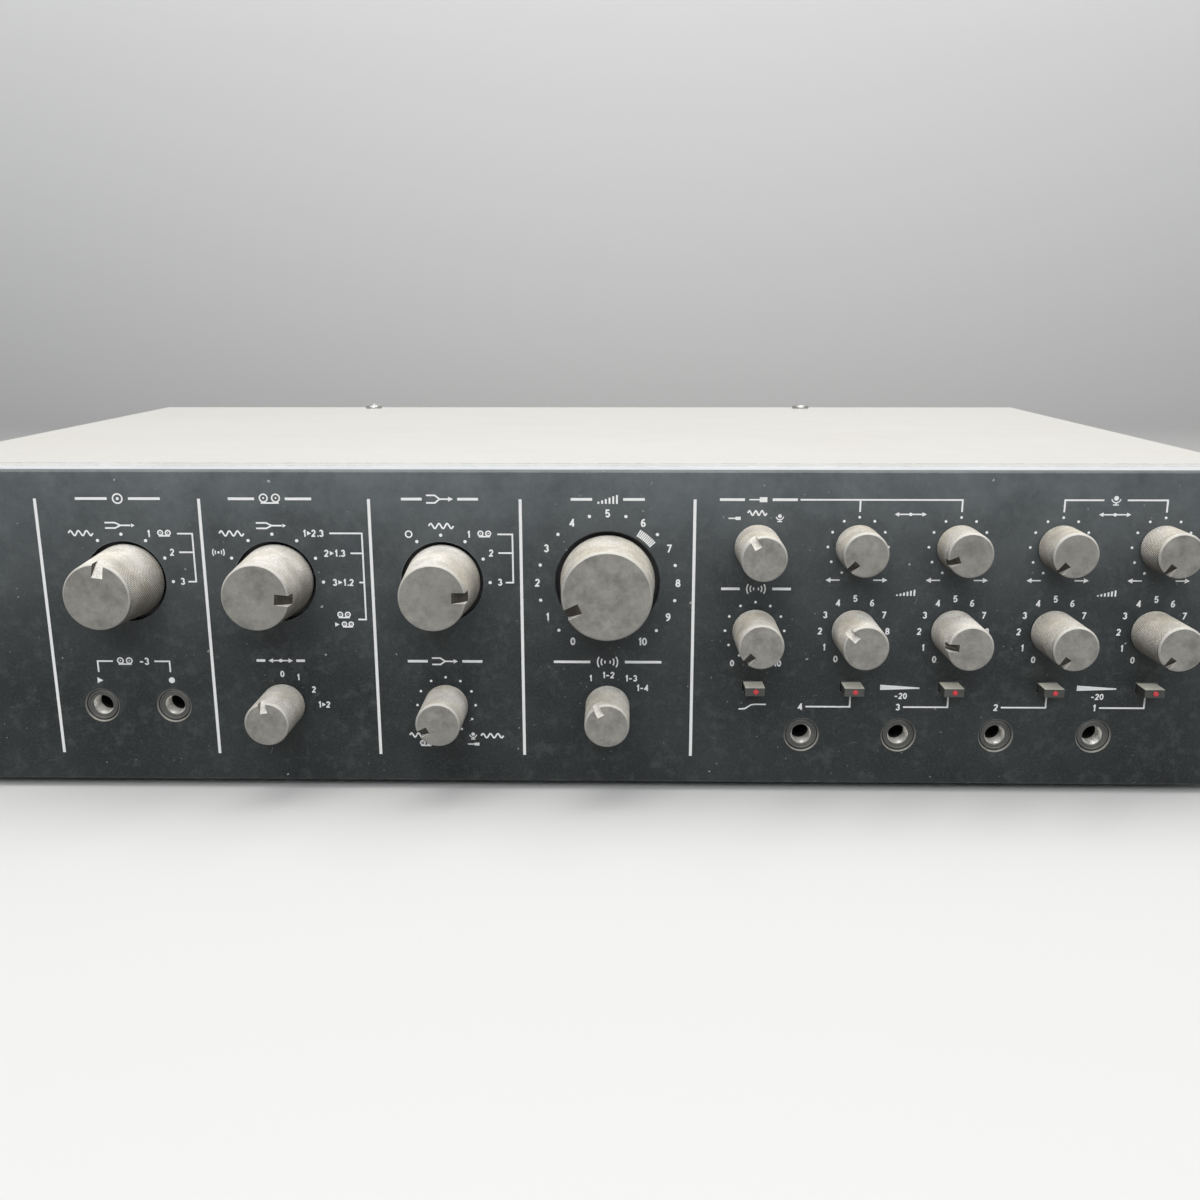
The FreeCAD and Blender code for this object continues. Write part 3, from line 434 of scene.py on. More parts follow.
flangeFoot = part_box("front_chassis")[1].z - 1.5 * mm
finish = {"panelBlack": makePanelBlack(), "coverEnamel": makeCoverEnamel(), "knobSide": makeKnobSide(),
          "pointerPaintAndShade": makePointerPaint()}
finishRows = {  # each row holds what its maker takes, in that order
    makeSheetMetal: {
        # zincFlange: near-black painted shade on the web below flangeFoot
        "zincFlange": ((0.80, 0.83, 0.86), (0.70, 0.73, 0.77), (1.0, 8.0, 30.0), 0.38, 0.45, flangeFoot),
        "zincBase": ((0.58, 0.60, 0.61), (0.44, 0.46, 0.47), (14.0, 1.0, 14.0), 0.40)},
    makeKnobFace: {
        "knobFace": ((0.155, 0.152, 0.140), (0.340, 0.326, 0.288), (0.11, 0.103, 0.088), 0.3),
        # knobRim: paler than the face for its bare bevel and for a painted highlight; its heavy settled dust
        # paints the top of the rim lighter
        "knobRim": ((0.30, 0.29, 0.27), (0.44, 0.43, 0.40), (0.22, 0.21, 0.19), 1.25)},
    makePaint: {
        "legendInk": ((0.96, 0.965, 0.96), (0.34, 0.35, 0.35), 0.55, 0.08, 700.0),
        "redDot": ((0.80, 0.055, 0.070), (0.36, 0.05, 0.05), 0.18, 0.35, 900.0)},
    makePlastic: {
        "buttonBlack": ((0.042, 0.044, 0.040), 0.40, 0.05, 1.35, 2400.0, 0.00002, (0.90, 0.88, 0.76), 0.30,
                        0.15),
        "jackBlack": ((0.032, 0.034, 0.034), 0.36, 0.12, 0.30, 2400.0, 0.00002, greyDust, 0.08),
        # jackDeep: near-black, painted shade down the bore
        "jackDeep": ((0.008, 0.008, 0.008), 0.60, 0.02, 0.05),
        # bareRim: dusty grey ring over the jack holes, partly a painted highlight on their edges
        "bareRim": ((0.050, 0.054, 0.054), 0.38, 0.55, 0.60, 2400.0, 0.00002, greyDust, 0.5),
        "rearPaint": ((0.028, 0.028, 0.029), 0.50, 0.08, 0.4, 1500.0, 0.00004),
        "footRubber": ((0.020, 0.020, 0.020), 0.70, 0.18, 0.35, 900.0, 0.00006),
        "insulatorWhite": ((0.62, 0.61, 0.57), 0.40, 0.12, 0.3),
        "insulatorRed": ((0.42, 0.030, 0.030), 0.40, 0.12, 0.3),
        "mouldedBlack": ((0.024, 0.024, 0.025), 0.42, 0.10, 0.4),
        "boardBrown": ((0.20, 0.12, 0.045), 0.50, 0.15, 0.3)},
    makeBrightMetal: {
        "jackMetal": ((0.95, 0.94, 0.90), 0.20, (0.60, 0.58, 0.52), 0.30),
        "screwSteel": ((0.66, 0.66, 0.65), 0.28, (0.36, 0.34, 0.31)),
        "phonoNickel": ((0.74, 0.72, 0.68), 0.22, (0.48, 0.45, 0.39)),
        "shaftBrass": ((0.66, 0.52, 0.28), 0.30, (0.36, 0.27, 0.14))},
}
for maker, rows in finishRows.items():
    for name, values in rows.items():
        finish[name] = maker(name, *values)
print("materials made:", len(finish))


def newPiece(name, mesh, node, slotName, *materials):
    piece = bpy.data.objects.new(name, mesh)
    scene.collection.objects.link(piece)
    for material in materials:
        mesh.materials.append(finish[material])
    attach(piece, bodyOf[node])
    return piece


def meshFrom(build, name, recalculate=True):
    if recalculate:
        bmesh.ops.recalc_face_normals(build, faces=build.faces)
    mesh = bpy.data.meshes.new(name)
    build.to_mesh(mesh)
    build.free()
    return mesh


def smoothByAngle(mesh, degrees):
    mesh.shade_smooth()
    mesh.set_sharp_from_angle(angle=math.radians(degrees))


def lathe(build, profile, steps, place, index=0):  # profile points are (along the axis, radius)
    rings = []
    for along, radius in profile:
        count = 1 if radius < 1e-7 else steps
        rings.append([build.verts.new(place(along, radius, 2 * math.pi * k / steps)) for k in range(count)])
    for first, second in zip(rings, rings[1:]):
        for k in range(steps):
            n = (k + 1) % steps
            corners = [first[k % len(first)], first[n % len(first)],
                       second[n % len(second)], second[k % len(second)]]
            kept = [corner for i, corner in enumerate(corners) if corner is not corners[i - 1]]
            if len(kept) > 2:
                build.faces.new(kept).material_index = index
    return rings


def joinRings(build, first, second):
    for k in range(len(first)):
        n = (k + 1) % len(first)
        build.faces.new((first[k], first[n], second[n], second[k]))


def latheClosed(build, profile, steps, place):  # a ring whose section is a closed outline
    rings = lathe(build, profile, steps, place)
    joinRings(build, rings[-1], rings[0])


def alongY(x, y, z):  # profiles run from the front towards the rear
    def place(along, radius, angle):
        return Vector((x + radius * math.sin(angle), y + along, z + radius * math.cos(angle)))
    return place


def alongAxis(x, y, z, axis, sense=1.0):  # profiles run outwards along x or z
    turns = {"x": Matrix.Rotation(math.pi / 2 * sense, 3, "Y"),
             "z": Matrix.Rotation(0.0 if sense > 0 else math.pi, 3, "X")}

    def place(along, radius, angle):
        return Vector((x, y, z)) + turns[axis] @ Vector(
            (radius * math.cos(angle), radius * math.sin(angle), along))
    return place


# Printed legends: every mark is a thin closed prism on the paint.
legend = {"rise": 0.035, "sunk": 0.005, "stagger": 0.0007, "line": 0.50, "rule": 0.80, "divider": 0.90,
          "dot": 0.50, "smallDot": 0.40, "stroke": 0.207, "sharp": 0.55, "thinnest": 0.45}
ink = {"mesh": bmesh.new(), "place": onPanel, "count": 0}


def inkOutline(points):
    ink["count"] += 1
    rise = legend["rise"] + legend["stagger"] * (ink["count"] % 9)  # crossing marks never share a plane
    build, place = ink["mesh"], ink["place"]
    front = [build.verts.new(place(x, z, rise)) for x, z in points]
    back = [build.verts.new(place(x, z, -legend["sunk"])) for x, z in points]
    build.faces.new(front)
    build.faces.new(back[::-1])
    for i in range(len(points)):
        build.faces.new((front[i - 1], back[i - 1], back[i], front[i]))


def inkLine(points, width=None):
    half = (width or legend["line"]) / 2
    steps = [(Vector(b) - Vector(a)).normalized() for a, b in zip(points, points[1:])]
    for i in range(1, len(steps)):
        if steps[i - 1].dot(steps[i]) < legend["sharp"]:  # a sharp corner parts the line in two that overlap
            corner = Vector(points[i])
            inkLine(points[:i] + [tuple(corner + steps[i - 1] * half)], width)
            inkLine([tuple(corner - steps[i] * half)] + points[i + 1:], width)
            return
    left, right = [], []
    for i, spot in enumerate(points):
        before, after = steps[max(i - 1, 0)], steps[min(i, len(steps) - 1)]
        normal = Vector((-before.y - after.y, before.x + after.x)).normalized()
        reach = half / max(legend["thinnest"], normal.dot(Vector((-after.y, after.x))))
        left.append((spot[0] + normal.x * reach, spot[1] + normal.y * reach))
        right.append((spot[0] - normal.x * reach, spot[1] - normal.y * reach))
    inkOutline(left + right[::-1])


def onDial(x, z, radius, degrees):
    turn = math.radians(degrees)
    return x + radius * math.sin(turn), z + radius * math.cos(turn)


def arcPoints(x, z, across, up, start, end, steps=14):  # clockwise from the top
    turns = [math.radians(start + (end - start) * k / steps) for k in range(steps + 1)]
    return [(x + across * math.sin(turn), z + up * math.cos(turn)) for turn in turns]


def inkDot(x, z, radius=None):
    radius = radius or legend["dot"]
    inkOutline(arcPoints(x, z, radius, radius, 0.0, 360.0, 20)[:-1])


def inkArc(x, z, radius, start, end, width=None, steps=18):
    inkLine(arcPoints(x, z, radius, radius, start, end, steps), width)


def inkRing(x, z, radius, width):
    inkArc(x, z, radius, 0.0, 180.0, width)
    inkArc(x, z, radius, 180.0, 360.0, width)


def inkTriangle(x, z, size, degrees):
    inkOutline([onDial(x, z, size, degrees + spin) for spin in (0.0, 125.0, 235.0)])


# Numerals are drawn as strokes in a box one unit high.
numeral = {
    "0": [arcPoints(0.30, 0.5, 0.22, 0.42, 0, 180), arcPoints(0.30, 0.5, 0.22, 0.42, 180, 360)],
    "1": [[(0.14, 0.72), (0.24, 0.78), (0.34, 0.92), (0.34, 0.0)]],
    "2": [arcPoints(0.30, 0.69, 0.21, 0.23, -80, 118) + [(0.09, 0.08), (0.54, 0.08)]],
    "3": [arcPoints(0.29, 0.71, 0.19, 0.21, -75, 178), arcPoints(0.29, 0.29, 0.22, 0.21, 2, 255)],
    "4": [[(0.42, 0.0), (0.42, 0.90), (0.06, 0.30), (0.58, 0.30)]],
    "5": [[(0.52, 0.92), (0.15, 0.92), (0.11, 0.52)] + arcPoints(0.29, 0.33, 0.22, 0.25, -38, 245)],
    "6": [arcPoints(0.30, 0.31, 0.21, 0.23, 0, 180), arcPoints(0.30, 0.31, 0.21, 0.23, 180, 360),
          arcPoints(0.42, 0.40, 0.33, 0.52, -98, 14)],
    "7": [[(0.06, 0.92), (0.54, 0.92), (0.22, 0.0)]],
    "8": [arcPoints(0.30, 0.71, 0.18, 0.21, 0, 180), arcPoints(0.30, 0.71, 0.18, 0.21, 180, 360),
          arcPoints(0.30, 0.29, 0.22, 0.21, 0, 180), arcPoints(0.30, 0.29, 0.22, 0.21, 180, 360)],
    "9": [arcPoints(0.30, 0.69, 0.21, 0.23, 0, 180), arcPoints(0.30, 0.69, 0.21, 0.23, 180, 360),
          arcPoints(0.18, 0.60, 0.33, 0.52, 82, 194)],
    "-": [[(0.08, 0.42), (0.52, 0.42)]],
    ".": [[(0.12, 0.09), (0.30, 0.09)]],
}
advance = {"1": 0.56, ".": 0.40}


def inkDigits(text, x, z, tall):
    wide = sum(advance.get(sign, 0.72) for sign in text) - 0.12
    start = x - wide * tall / 2
    for sign in text:
        if sign == ">":
            inkTriangle(start + 0.30 * tall, z, 0.38 * tall, 90.0)
        for stroke in numeral.get(sign, []):
            inkLine([(start + u * tall, z + (v - 0.5) * tall) for u, v in stroke], legend["stroke"] * tall)
        start += advance.get(sign, 0.72) * tall


def drawIcon(kind, x, z, wide, tall):
    w, h, pen = wide / 2, tall / 2, 0.48
    if kind == "ring":  # what is being listened to
        inkRing(x, z, h * 0.85, 0.45)
        inkDot(x, z, h * 0.28)
    elif kind == "wave":
        turns = [k / 30 for k in range(31)]
        inkLine([(x - w + wide * t, z + h * 0.72 * math.sin(6 * math.pi * t)) for t in turns], pen)
    elif kind == "mix":  # two lines that join in one
        inkLine([(x - w, z + h * 0.75), (x - w * 0.35, z + h * 0.75), (x, z), (x + w * 0.65, z)], pen)
        inkLine([(x - w, z - h * 0.75), (x - w * 0.35, z - h * 0.75), (x, z)], pen)
        inkTriangle(x + w * 0.78, z, h * 0.62, 90.0)
    elif kind == "reels":
        for side in (-1, 1):
            inkRing(x + side * h * 1.15, z + h * 0.15, h * 0.72, 0.42)
            inkDot(x + side * h * 1.15, z + h * 0.15, h * 0.18)
        inkLine([(x - h * 1.7, z - h * 0.78), (x + h * 1.7, z - h * 0.78)], pen)
    elif kind == "mast":  # a transmitter
        inkDot(x, z, h * 0.32)
        for side in (-1, 1):
            for step in (0.9, 1.6):
                inkArc(x, z, h * step, side * 55.0, side * 125.0, 0.34, 8)
    elif kind == "voice":  # a microphone in its stand
        inkDot(x, z + h * 0.42, h * 0.50)
        inkArc(x, z + h * 0.42, h * 0.95, 100.0, 260.0, 0.32, 12)
        inkLine([(x, z - h * 0.5), (x, z - h)], 0.36)
        inkLine([(x - h * 0.6, z - h), (x + h * 0.6, z - h)], 0.34)
    elif kind == "plug":
        inkLine([(x - w, z), (x + w * 0.1, z)], 0.40)
        inkLine([(x + w * 0.1, z), (x + w * 0.9, z)], h * 1.1)
    elif kind == "bars":
        for step in range(6):
            at = x - w + wide * (step + 0.5) / 6
            inkLine([(at, z - h * 0.85), (at, z - h * 0.45 + step * h * 0.26)], wide / 12)
    elif kind == "echo":
        for side in (-1, 1):
            for step in range(3):
                inkArc(x, z, h * (0.55 + 0.75 * step), side * 58.0, side * 122.0, 0.42, 10)
    elif kind == "spread":  # side to side
        inkLine([(x - w + 1.0, z), (x + w - 1.0, z)], 0.40)
        inkDot(x, z, h * 0.55)
        inkTriangle(x - w + 0.6, z, h * 0.85, -90.0)
        inkTriangle(x + w - 0.6, z, h * 0.85, 90.0)
    elif kind == "fade":
        inkOutline([(x - w, z - h * 0.8), (x + w, z - h * 0.35), (x + w, z + h * 0.05), (x - w, z + h * 0.9)])
    elif kind == "lowCut":
        inkLine([(x - w, z - h * 0.8), (x - w * 0.55, z - h * 0.7), (x - w * 0.1, z + h * 0.6),
                 (x + w * 0.15, z + h * 0.8), (x + w, z + h * 0.8)], 0.44)


def heading(kind, x, z, wide, iconWide, tall):
    drawIcon(kind, x, z, iconWide, tall)
    for side in (-1, 1):
        inkLine([(x + side * (iconWide / 2 + 1.3), z), (x + side * wide / 2, z)], legend["rule"])


def dialDots(x, z, radius, degrees, size=None):
    for angle in degrees:
        inkDot(*onDial(x, z, radius, angle), size)


def dialDigits(x, z, radius, tall):
    for number in range(11):
        inkDigits(str(number), *onDial(x, z, radius, -150 + 30 * number), tall)


fullSweep = range(-150, 151, 30)
monitorX, selectorZ = controlPlace("shaft_monitor")
recordX, lowerZ = controlPlace("shaft_adaptor")
mixX = controlPlace("shaft_mixing")[0]
masterX = controlPlace("shaft_master")[0]
inputX, panZ = controlPlace("shaft_input")
levelZ = controlPlace("shaft_reverb_level")[1]
buttonZ = controlPlace("button_low_cut")[1]
powerX, powerZ = controlPlace("button_power")
stripX = {channel: controlPlace(f"shaft_pan_{channel}")[0] for channel in (4, 3, 2, 1)}
headRow, secondRow = 89.6, lowerZ + 14.2


def printSelectors():
    for x in (-158.4, -109.0, -58.1, -12.9, 39.0):
        inkLine([(x, headRow), (x, 8.8)], legend["divider"])
    for kind, x, wide, iconWide, tall in (
            ("ring", monitorX, 25.6, 3.8, 3.3), ("reels", recordX, 25.0, 6.6, 3.2),
            ("mix", mixX, 23.0, 8.0, 3.0), ("bars", masterX, 22.0, 6.6, 3.1)):
        heading(kind, x, headRow, wide, iconWide, tall)
    for x, radius, first in ((monitorX, 14.6, -30), (recordX, 14.7, -60), (mixX, 14.5, -30)):
        dialDots(x, selectorZ, radius, range(first, 91, 30))
    for x in (monitorX, recordX):
        drawIcon("wave", x - 12.2, selectorZ + 14.9, 7.4, 2.1)
        drawIcon("mix", x + 0.1, selectorZ + 17.3, 9.4, 2.2)
    drawIcon("mast", recordX - 16.6, selectorZ + 9.1, 6.0, 2.2)
    inkRing(mixX - 9.6, selectorZ + 14.8, 0.95, 0.42)
    drawIcon("wave", mixX + 0.2, selectorZ + 17.3, 7.4, 2.1)
    for x, bracket in ((monitorX, 21.6), (mixX, 21.5)):
        for text, across, up in (("1", 8.3, 14.8), ("2", 15.0, 9.1), ("3", 17.5, 0.1)):
            inkDigits(text, x + across, selectorZ + up, 2.1)
        drawIcon("reels", x + 13.1, selectorZ + 14.9, 4.6, 2.0)
        inkLine([(x + 17.0, selectorZ + 14.8), (x + bracket, selectorZ + 14.8),
                 (x + bracket, selectorZ), (x + 19.2, selectorZ)])
        inkLine([(x + 17.2, selectorZ + 9.1), (x + bracket, selectorZ + 9.1)])
    for text, across, up in (("1>2.3", 12.4, 15.0), ("2>1.3", 18.6, 8.9), ("3>1.2", 20.7, -0.1)):
        inkDigits(text, recordX + across, selectorZ + up, 2.1)
    bracket = recordX + 27.1
    inkLine([(recordX + 17.3, selectorZ + 15.0), (bracket, selectorZ + 15.0),
             (bracket, selectorZ - 11.7), (bracket - 2.4, selectorZ - 11.7)])
    inkLine([(recordX + 23.4, selectorZ + 8.9), (bracket, selectorZ + 8.9)])
    inkLine([(recordX + 25.6, selectorZ - 0.1), (bracket, selectorZ - 0.1)])
    drawIcon("reels", recordX + 20.4, selectorZ - 10.3, 4.6, 2.0)
    inkTriangle(recordX + 18.0, selectorZ - 13.3, 0.85, 90.0)
    drawIcon("reels", recordX + 21.4, selectorZ - 13.3, 4.6, 1.8)


def printMaster():
    dialDots(masterX, selectorZ, 21.0, [side * angle for angle in (15, 45, 75, 105, 135) for side in (-1, 1)])
    dialDigits(masterX, selectorZ, 21.2, 2.35)
    for step in range(10):  # the fine striped block beside the 6
        middle = 40.0 + (step - 4.5) * 1.86
        inkLine([onDial(masterX, selectorZ, 16.7, middle), onDial(masterX, selectorZ, 19.0, middle)], 0.42)


def printLowerRow():
    for kind, x, wide, iconWide, tall in (
            ("spread", recordX, 15.0, 7.0, 2.1), ("mix", mixX, 23.0, 8.0, 2.7),
            ("echo", masterX, 33.0, 8.0, 3.0)):
        heading(kind, x, secondRow, wide, iconWide, tall)
    for text, across, up in (("0", 0.2, 9.9), ("1", 5.0, 8.9), ("2", 9.7, 4.9), ("1>2", 12.6, 0.0)):
        inkDigits(text, recordX + across, lowerZ + up, 2.0)
    dialDots(mixX, lowerZ, 9.05, fullSweep, legend["smallDot"])
    for kind, across, up, wide, tall in (
            ("wave", -8.6, -9.9, 6.4, 1.9), ("reels", -6.8, -12.6, 4.6, 1.9),
            ("voice", 8.0, -10.0, 2.4, 2.3), ("wave", 14.0, -10.0, 7.0, 1.9),
            ("plug", 8.2, -12.8, 3.8, 1.7)):
        drawIcon(kind, mixX + across, lowerZ + up, wide, tall)
    for text, across, up in (("1", -5.3, 9.0), ("1-2", 0.2, 10.0), ("1-3", 7.2, 9.0), ("1-4", 10.7, 5.9)):
        inkDigits(text, masterX + across, lowerZ + up, 2.0)
    inkLine([(-144.7, 35.4), (-144.7, 38.9), (-139.9, 38.9)])
    inkLine([(-127.0, 38.9), (-122.3, 38.9), (-122.3, 35.4)])
    drawIcon("reels", -136.2, 38.9, 5.4, 2.4)
    inkDigits("-3", -130.2, 38.9, 2.3)
    inkTriangle(-144.7, 32.7, 1.15, 90.0)
    inkDot(-122.1, 32.8, 0.95)


def printChannels():
    dropTo = 86.0
    heading("plug", inputX, headRow, 23.0, 5.6, 2.7)
    inkLine([(70.1, headRow), (stripX[3], headRow), (stripX[3], dropTo)])
    inkLine([(stripX[4], headRow), (stripX[4], dropTo)])
    inkLine([(stripX[2], dropTo), (stripX[2], headRow), (159.2, headRow)])
    inkLine([(166.0, headRow), (stripX[1], headRow), (stripX[1], dropTo)])
    drawIcon("voice", 162.7, headRow, 2.6, 2.8)
    for kind, across, up, wide, tall in (
            ("plug", -6.9, 8.6, 3.8, 1.8), ("wave", -0.3, 10.2, 5.6, 1.9), ("voice", 6.4, 8.8, 2.2, 2.3)):
        drawIcon(kind, inputX + across, panZ + up, wide, tall)
    heading("echo", inputX, 62.5, 21.0, 7.2, 2.7)
    dialDots(inputX, levelZ, 9.0, fullSweep, legend["smallDot"])
    inkDigits("0", inputX - 6.6, levelZ - 10.3, 2.0)
    inkDigits("10", inputX + 7.2, levelZ - 10.3, 2.0)
    drawIcon("lowCut", inputX, buttonZ - 6.7, 8.4, 1.9)
    for pair in (stripX[4], stripX[2]):
        middle = pair + 15.0
        for kind, up, wide, tall in (
                ("spread", 85.3, 9.0, 1.9), ("bars", 61.4, 6.2, 2.2), ("fade", 31.5, 12.0, 2.0)):
            drawIcon(kind, middle, up, wide, tall)
        inkDigits("-20", middle + 0.4, 28.8, 1.9)
    for channel, x in stripX.items():
        dialDots(x, panZ, 9.0, fullSweep, legend["smallDot"])
        for side in (-1, 1):
            inkTriangle(x + side * 8.3, panZ - 10.1, 0.95, side * 90.0)
            inkLine([(x + side * 5.0, panZ - 10.1), (x + side * 7.9, panZ - 10.1)], 0.40)
        dialDigits(x, levelZ, 10.2, 2.05)
        inkDigits(str(channel), x - 15.2, 25.2, 2.1)
        inkLine([(x - 13.6, 25.2), (x, 25.2), (x, 28.7)])


def finishLegend(name, node, slotName):
    mesh = meshFrom(ink["mesh"], name)
    newPiece(name, mesh, node, slotName, "legendInk")
    print(name, "printed:", len(mesh.polygons), "faces")
    ink["mesh"] = bmesh.new()


def printFront():
    printSelectors()
    printMaster()
    printLowerRow()
    printChannels()
    inkArc(powerX, powerZ + 9.2, 1.35, 35.0, 325.0, 0.45)
    inkLine([(powerX, powerZ + 9.4), (powerX, powerZ + 11.4)], 0.45)
    finishLegend("panelLegend", "front_panel", "panel_black")


def printRear():  # numerals and rules above the sockets
    ink["place"] = onRear
    columns = sorted({round(-spot[0] / mm, 2) for spot in phonoMounts.values()})
    rows = sorted({round((spot[2] - panelLow.z) / mm, 2) for spot in phonoMounts.values()})
    for number, x in enumerate(columns):
        inkDigits(str(number + 1), x, rows[-1] + 10.5, 2.6)
    for group in (columns[:5], columns[5:]):
        inkLine([(group[0] - 8.0, rows[-1] + 15.0), (group[-1] + 8.0, rows[-1] + 15.0)], 0.6)
        inkLine([(group[0] - 8.0, rows[0] - 9.5), (group[-1] + 8.0, rows[0] - 9.5)], 0.6)
        for x in group[:-1]:
            inkLine([(x + 10.0, rows[0] - 6.5), (x + 10.0, rows[-1] + 12.5)], 0.4)
    fuseX = -(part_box("fuse_holder")[0].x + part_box("fuse_holder")[1].x) / 2 / mm
    fuseZ = controlPlace("fuse_holder")[1]
    inkLine([(fuseX - 5.0, fuseZ + 12.5), (fuseX + 5.0, fuseZ + 12.5)], 0.5)
    inkLine([(fuseX - 2.6, fuseZ + 13.6), (fuseX + 2.6, fuseZ + 13.6), (fuseX + 2.6, fuseZ + 11.4),
             (fuseX - 2.6, fuseZ + 11.4), (fuseX - 2.6, fuseZ + 13.4)], 0.4)
    finishLegend("rearLegend", "rear_panel", "rear_black")


printFront()
printRear()

# Each knob is a knurled cup with a blasted end face, and a painted notch cut in its rim.
knobStyles = {
    "large": {"teeth": 74, "rowPitch": 0.46, "depth": 0.20, "notchWide": 3.2, "notchBack": 5.0},
    "master": {"teeth": 92, "rowPitch": 0.46, "depth": 0.20, "notchWide": 3.2, "notchBack": 5.0},
    "small": {"teeth": 52, "rowPitch": 0.44, "depth": 0.24, "notchWide": 2.2, "notchBack": 3.6},
}
knobFamily = {"monitor": "large", "record": "large", "mixing": "large", "master": "master"}


def readKnob(node):  # axis, ends, radii and pointer angle, from the frame's own knob
    low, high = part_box(node)
    x, z = (low.x + high.x) / 2, (low.z + high.z) / 2
    spots = [vertex.co for vertex in nodes[node].data.vertices]
    radii = [math.hypot(spot.x - x, spot.z - z) for spot in spots]
    face = max(radius for spot, radius in zip(spots, radii) if spot.y < low.y + 1e-5)
    notch, pointer = 1.0, Vector((0.0, 0.0))
    for spot, radius in zip(spots, radii):
        if spot.y < low.y + 1e-5 and 0.0005 < radius < face * 0.9:
            notch = min(notch, radius)
            pointer += Vector((spot.x - x, spot.z - z))
    pointer.normalize()
    rimDepth, rim = 1.0, face
    for spot, radius in zip(spots, radii):  # the bevel's rear edge, read away from the notch
        away = Vector((spot.x - x, spot.z - z)).dot(pointer) < 0.4 * radius
        if away and radius > face and 1e-5 < spot.y - low.y < rimDepth:
            rimDepth, rim = spot.y - low.y, radius
    return {"x": x, "z": z, "front": low.y, "rear": high.y, "rearRadius": max(radii), "faceRadius": face,
            "rimDepth": rimDepth, "rimRadius": rim, "notchRadius": notch,
            "angle": math.atan2(pointer.x, pointer.y)}


def knurledBody(read, style):
    build = bmesh.new()
    steps, length = 2 * style["teeth"], read["rear"] - read["front"]
    bevel, rim = read["rimDepth"], read["rimRadius"]
    place = alongY(read["x"], read["front"], read["z"])
    face = read["faceRadius"] - 0.05 * mm
    end = [(0.0, 0.0), (0.0, face * 0.4), (0.0, face * 0.8), (0.0, face - 0.05 * mm)]
    lip = [(0.0, face - 0.05 * mm), (0.05 * mm, face + 0.03 * mm), (bevel * 0.5, (face + rim) / 2),
           (bevel * 0.92, rim - 0.04 * mm), (bevel + 0.08 * mm, rim)]
    lathe(build, end, steps, place, 1)
    previous = lathe(build, lip, steps, place, 3)[-1]
    bmesh.ops.remove_doubles(build, verts=build.verts, dist=1e-8)
    build.verts.ensure_lookup_table()
    previous = [vertex for vertex in previous if vertex.is_valid]
    start, stop = bevel + 0.30 * mm, length - 0.6 * mm
    rows = max(4, round((stop - start) / (style["rowPitch"] * mm)))
    for row in range(rows + 1):
        along = start + (stop - start) * row / rows
        radius = rim + (read["rearRadius"] - 0.03 * mm - rim) * (along - bevel) / (length - bevel)
        bite = 0.0 if row in (0, rows) else style["depth"] * mm
        depths = [bite if (row + k) % 2 else 0.0 for k in range(steps)]
        turns = [2 * math.pi * k / steps for k in range(steps)]
        ring = [build.verts.new(place(along, radius - depth, turn)) for depth, turn in zip(depths, turns)]
        for k in range(steps):  # parted along the grooves, so that a diamond stands between them
            n = (k + 1) % steps
            corners = (previous[k], previous[n], ring[n], ring[k])
            if row == 0:
                build.faces.new(corners)
            elif (row + k) % 2:
                build.faces.new(corners[:3])
                build.faces.new((corners[2], corners[3], corners[0]))
            else:
                build.faces.new((corners[0], corners[1], corners[3]))
                build.faces.new(corners[1:])
        previous = ring
    wall = read["rearRadius"] - 0.9 * mm
    back = [(length, read["rearRadius"] - 0.25 * mm), (length, wall), (length - 5.0 * mm, wall - 0.2 * mm),
            (length - 5.0 * mm, 4.5 * mm), (length - 5.0 * mm, 0.0)]
    joinRings(build, previous, lathe(build, back, steps, place)[0])
    return meshFrom(build, "knob")


def notchCutter(read, style):
    build = bmesh.new()
    half, back, ahead = style["notchWide"] * mm / 2, style["notchBack"] * mm, 1.0 * mm
    outer = read["rearRadius"] + 1.5 * mm
    slope = (read["rearRadius"] - read["notchRadius"]) / back
    profile = [(-ahead, read["notchRadius"] - ahead * slope), (back + 1.5 * mm / slope, outer),
               (-ahead, outer)]
    spin = Matrix.Rotation(read["angle"], 3, "Y")
    origin = Vector((read["x"], read["front"], read["z"]))
    sides = [[build.verts.new(origin + spin @ Vector((x, along, radius))) for along, radius in profile]
             for x in (-half, half)]
    build.faces.new(sides[0])
    build.faces.new(sides[1][::-1])
    for i in range(3):
        build.faces.new((sides[0][i - 1], sides[0][i], sides[1][i], sides[1][i - 1]))
    for face in build.faces:
        face.material_index = 2
    return meshFrom(build, "notch")


def carve(mesh, cutters):  # subtracts closed meshes exactly, and keeps the cutters' paint
    target = bpy.data.objects.new("carved", mesh)
    scene.collection.objects.link(target)
    used = [target]
    for cutter in cutters:
        tool = bpy.data.objects.new("tool", cutter)
        scene.collection.objects.link(tool)
        step = target.modifiers.new("cut", "BOOLEAN")
        step.operation = "DIFFERENCE"
        step.object = tool
        step.solver = "EXACT"
        step.material_mode = "INDEX"
        used.append(tool)
    bpy.context.view_layer.update()
    result = bpy.data.meshes.new_from_object(target.evaluated_get(bpy.context.evaluated_depsgraph_get()))
    for item in used:
        bpy.data.objects.remove(item)
    return result


def makeKnob(name):
    node = f"knob_{name}"
    style = knobStyles[knobFamily.get(name, "small")]
    read = readKnob(node)
    paints = ("knobSide", "knobFace", "pointerPaintAndShade", "knobRim")
    body, cutter = knurledBody(read, style), notchCutter(read, style)
    for mesh in (body, cutter):
        for paint in paints:
            mesh.materials.append(finish[paint])
    carved = carve(body, [cutter])
    smoothByAngle(carved, 30.0)
    piece = newPiece(f"knurled_{name}", carved, node, "knob_metal")
    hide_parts(node)


knobNames = [node[len("knob_"):] for node in sorted(nodes) if node.startswith("knob_")]
for name in knobNames:
    makeKnob(name)
print("knobs turned:", len(knobNames))

button = {"edge": 0.20, "powerEdge": 0.6, "stemWide": 3.6, "stemTall": 1.8,
          "dot": 0.84, "dotAcross": 0.30, "dotOut": 0.45, "dotDeep": 0.3}


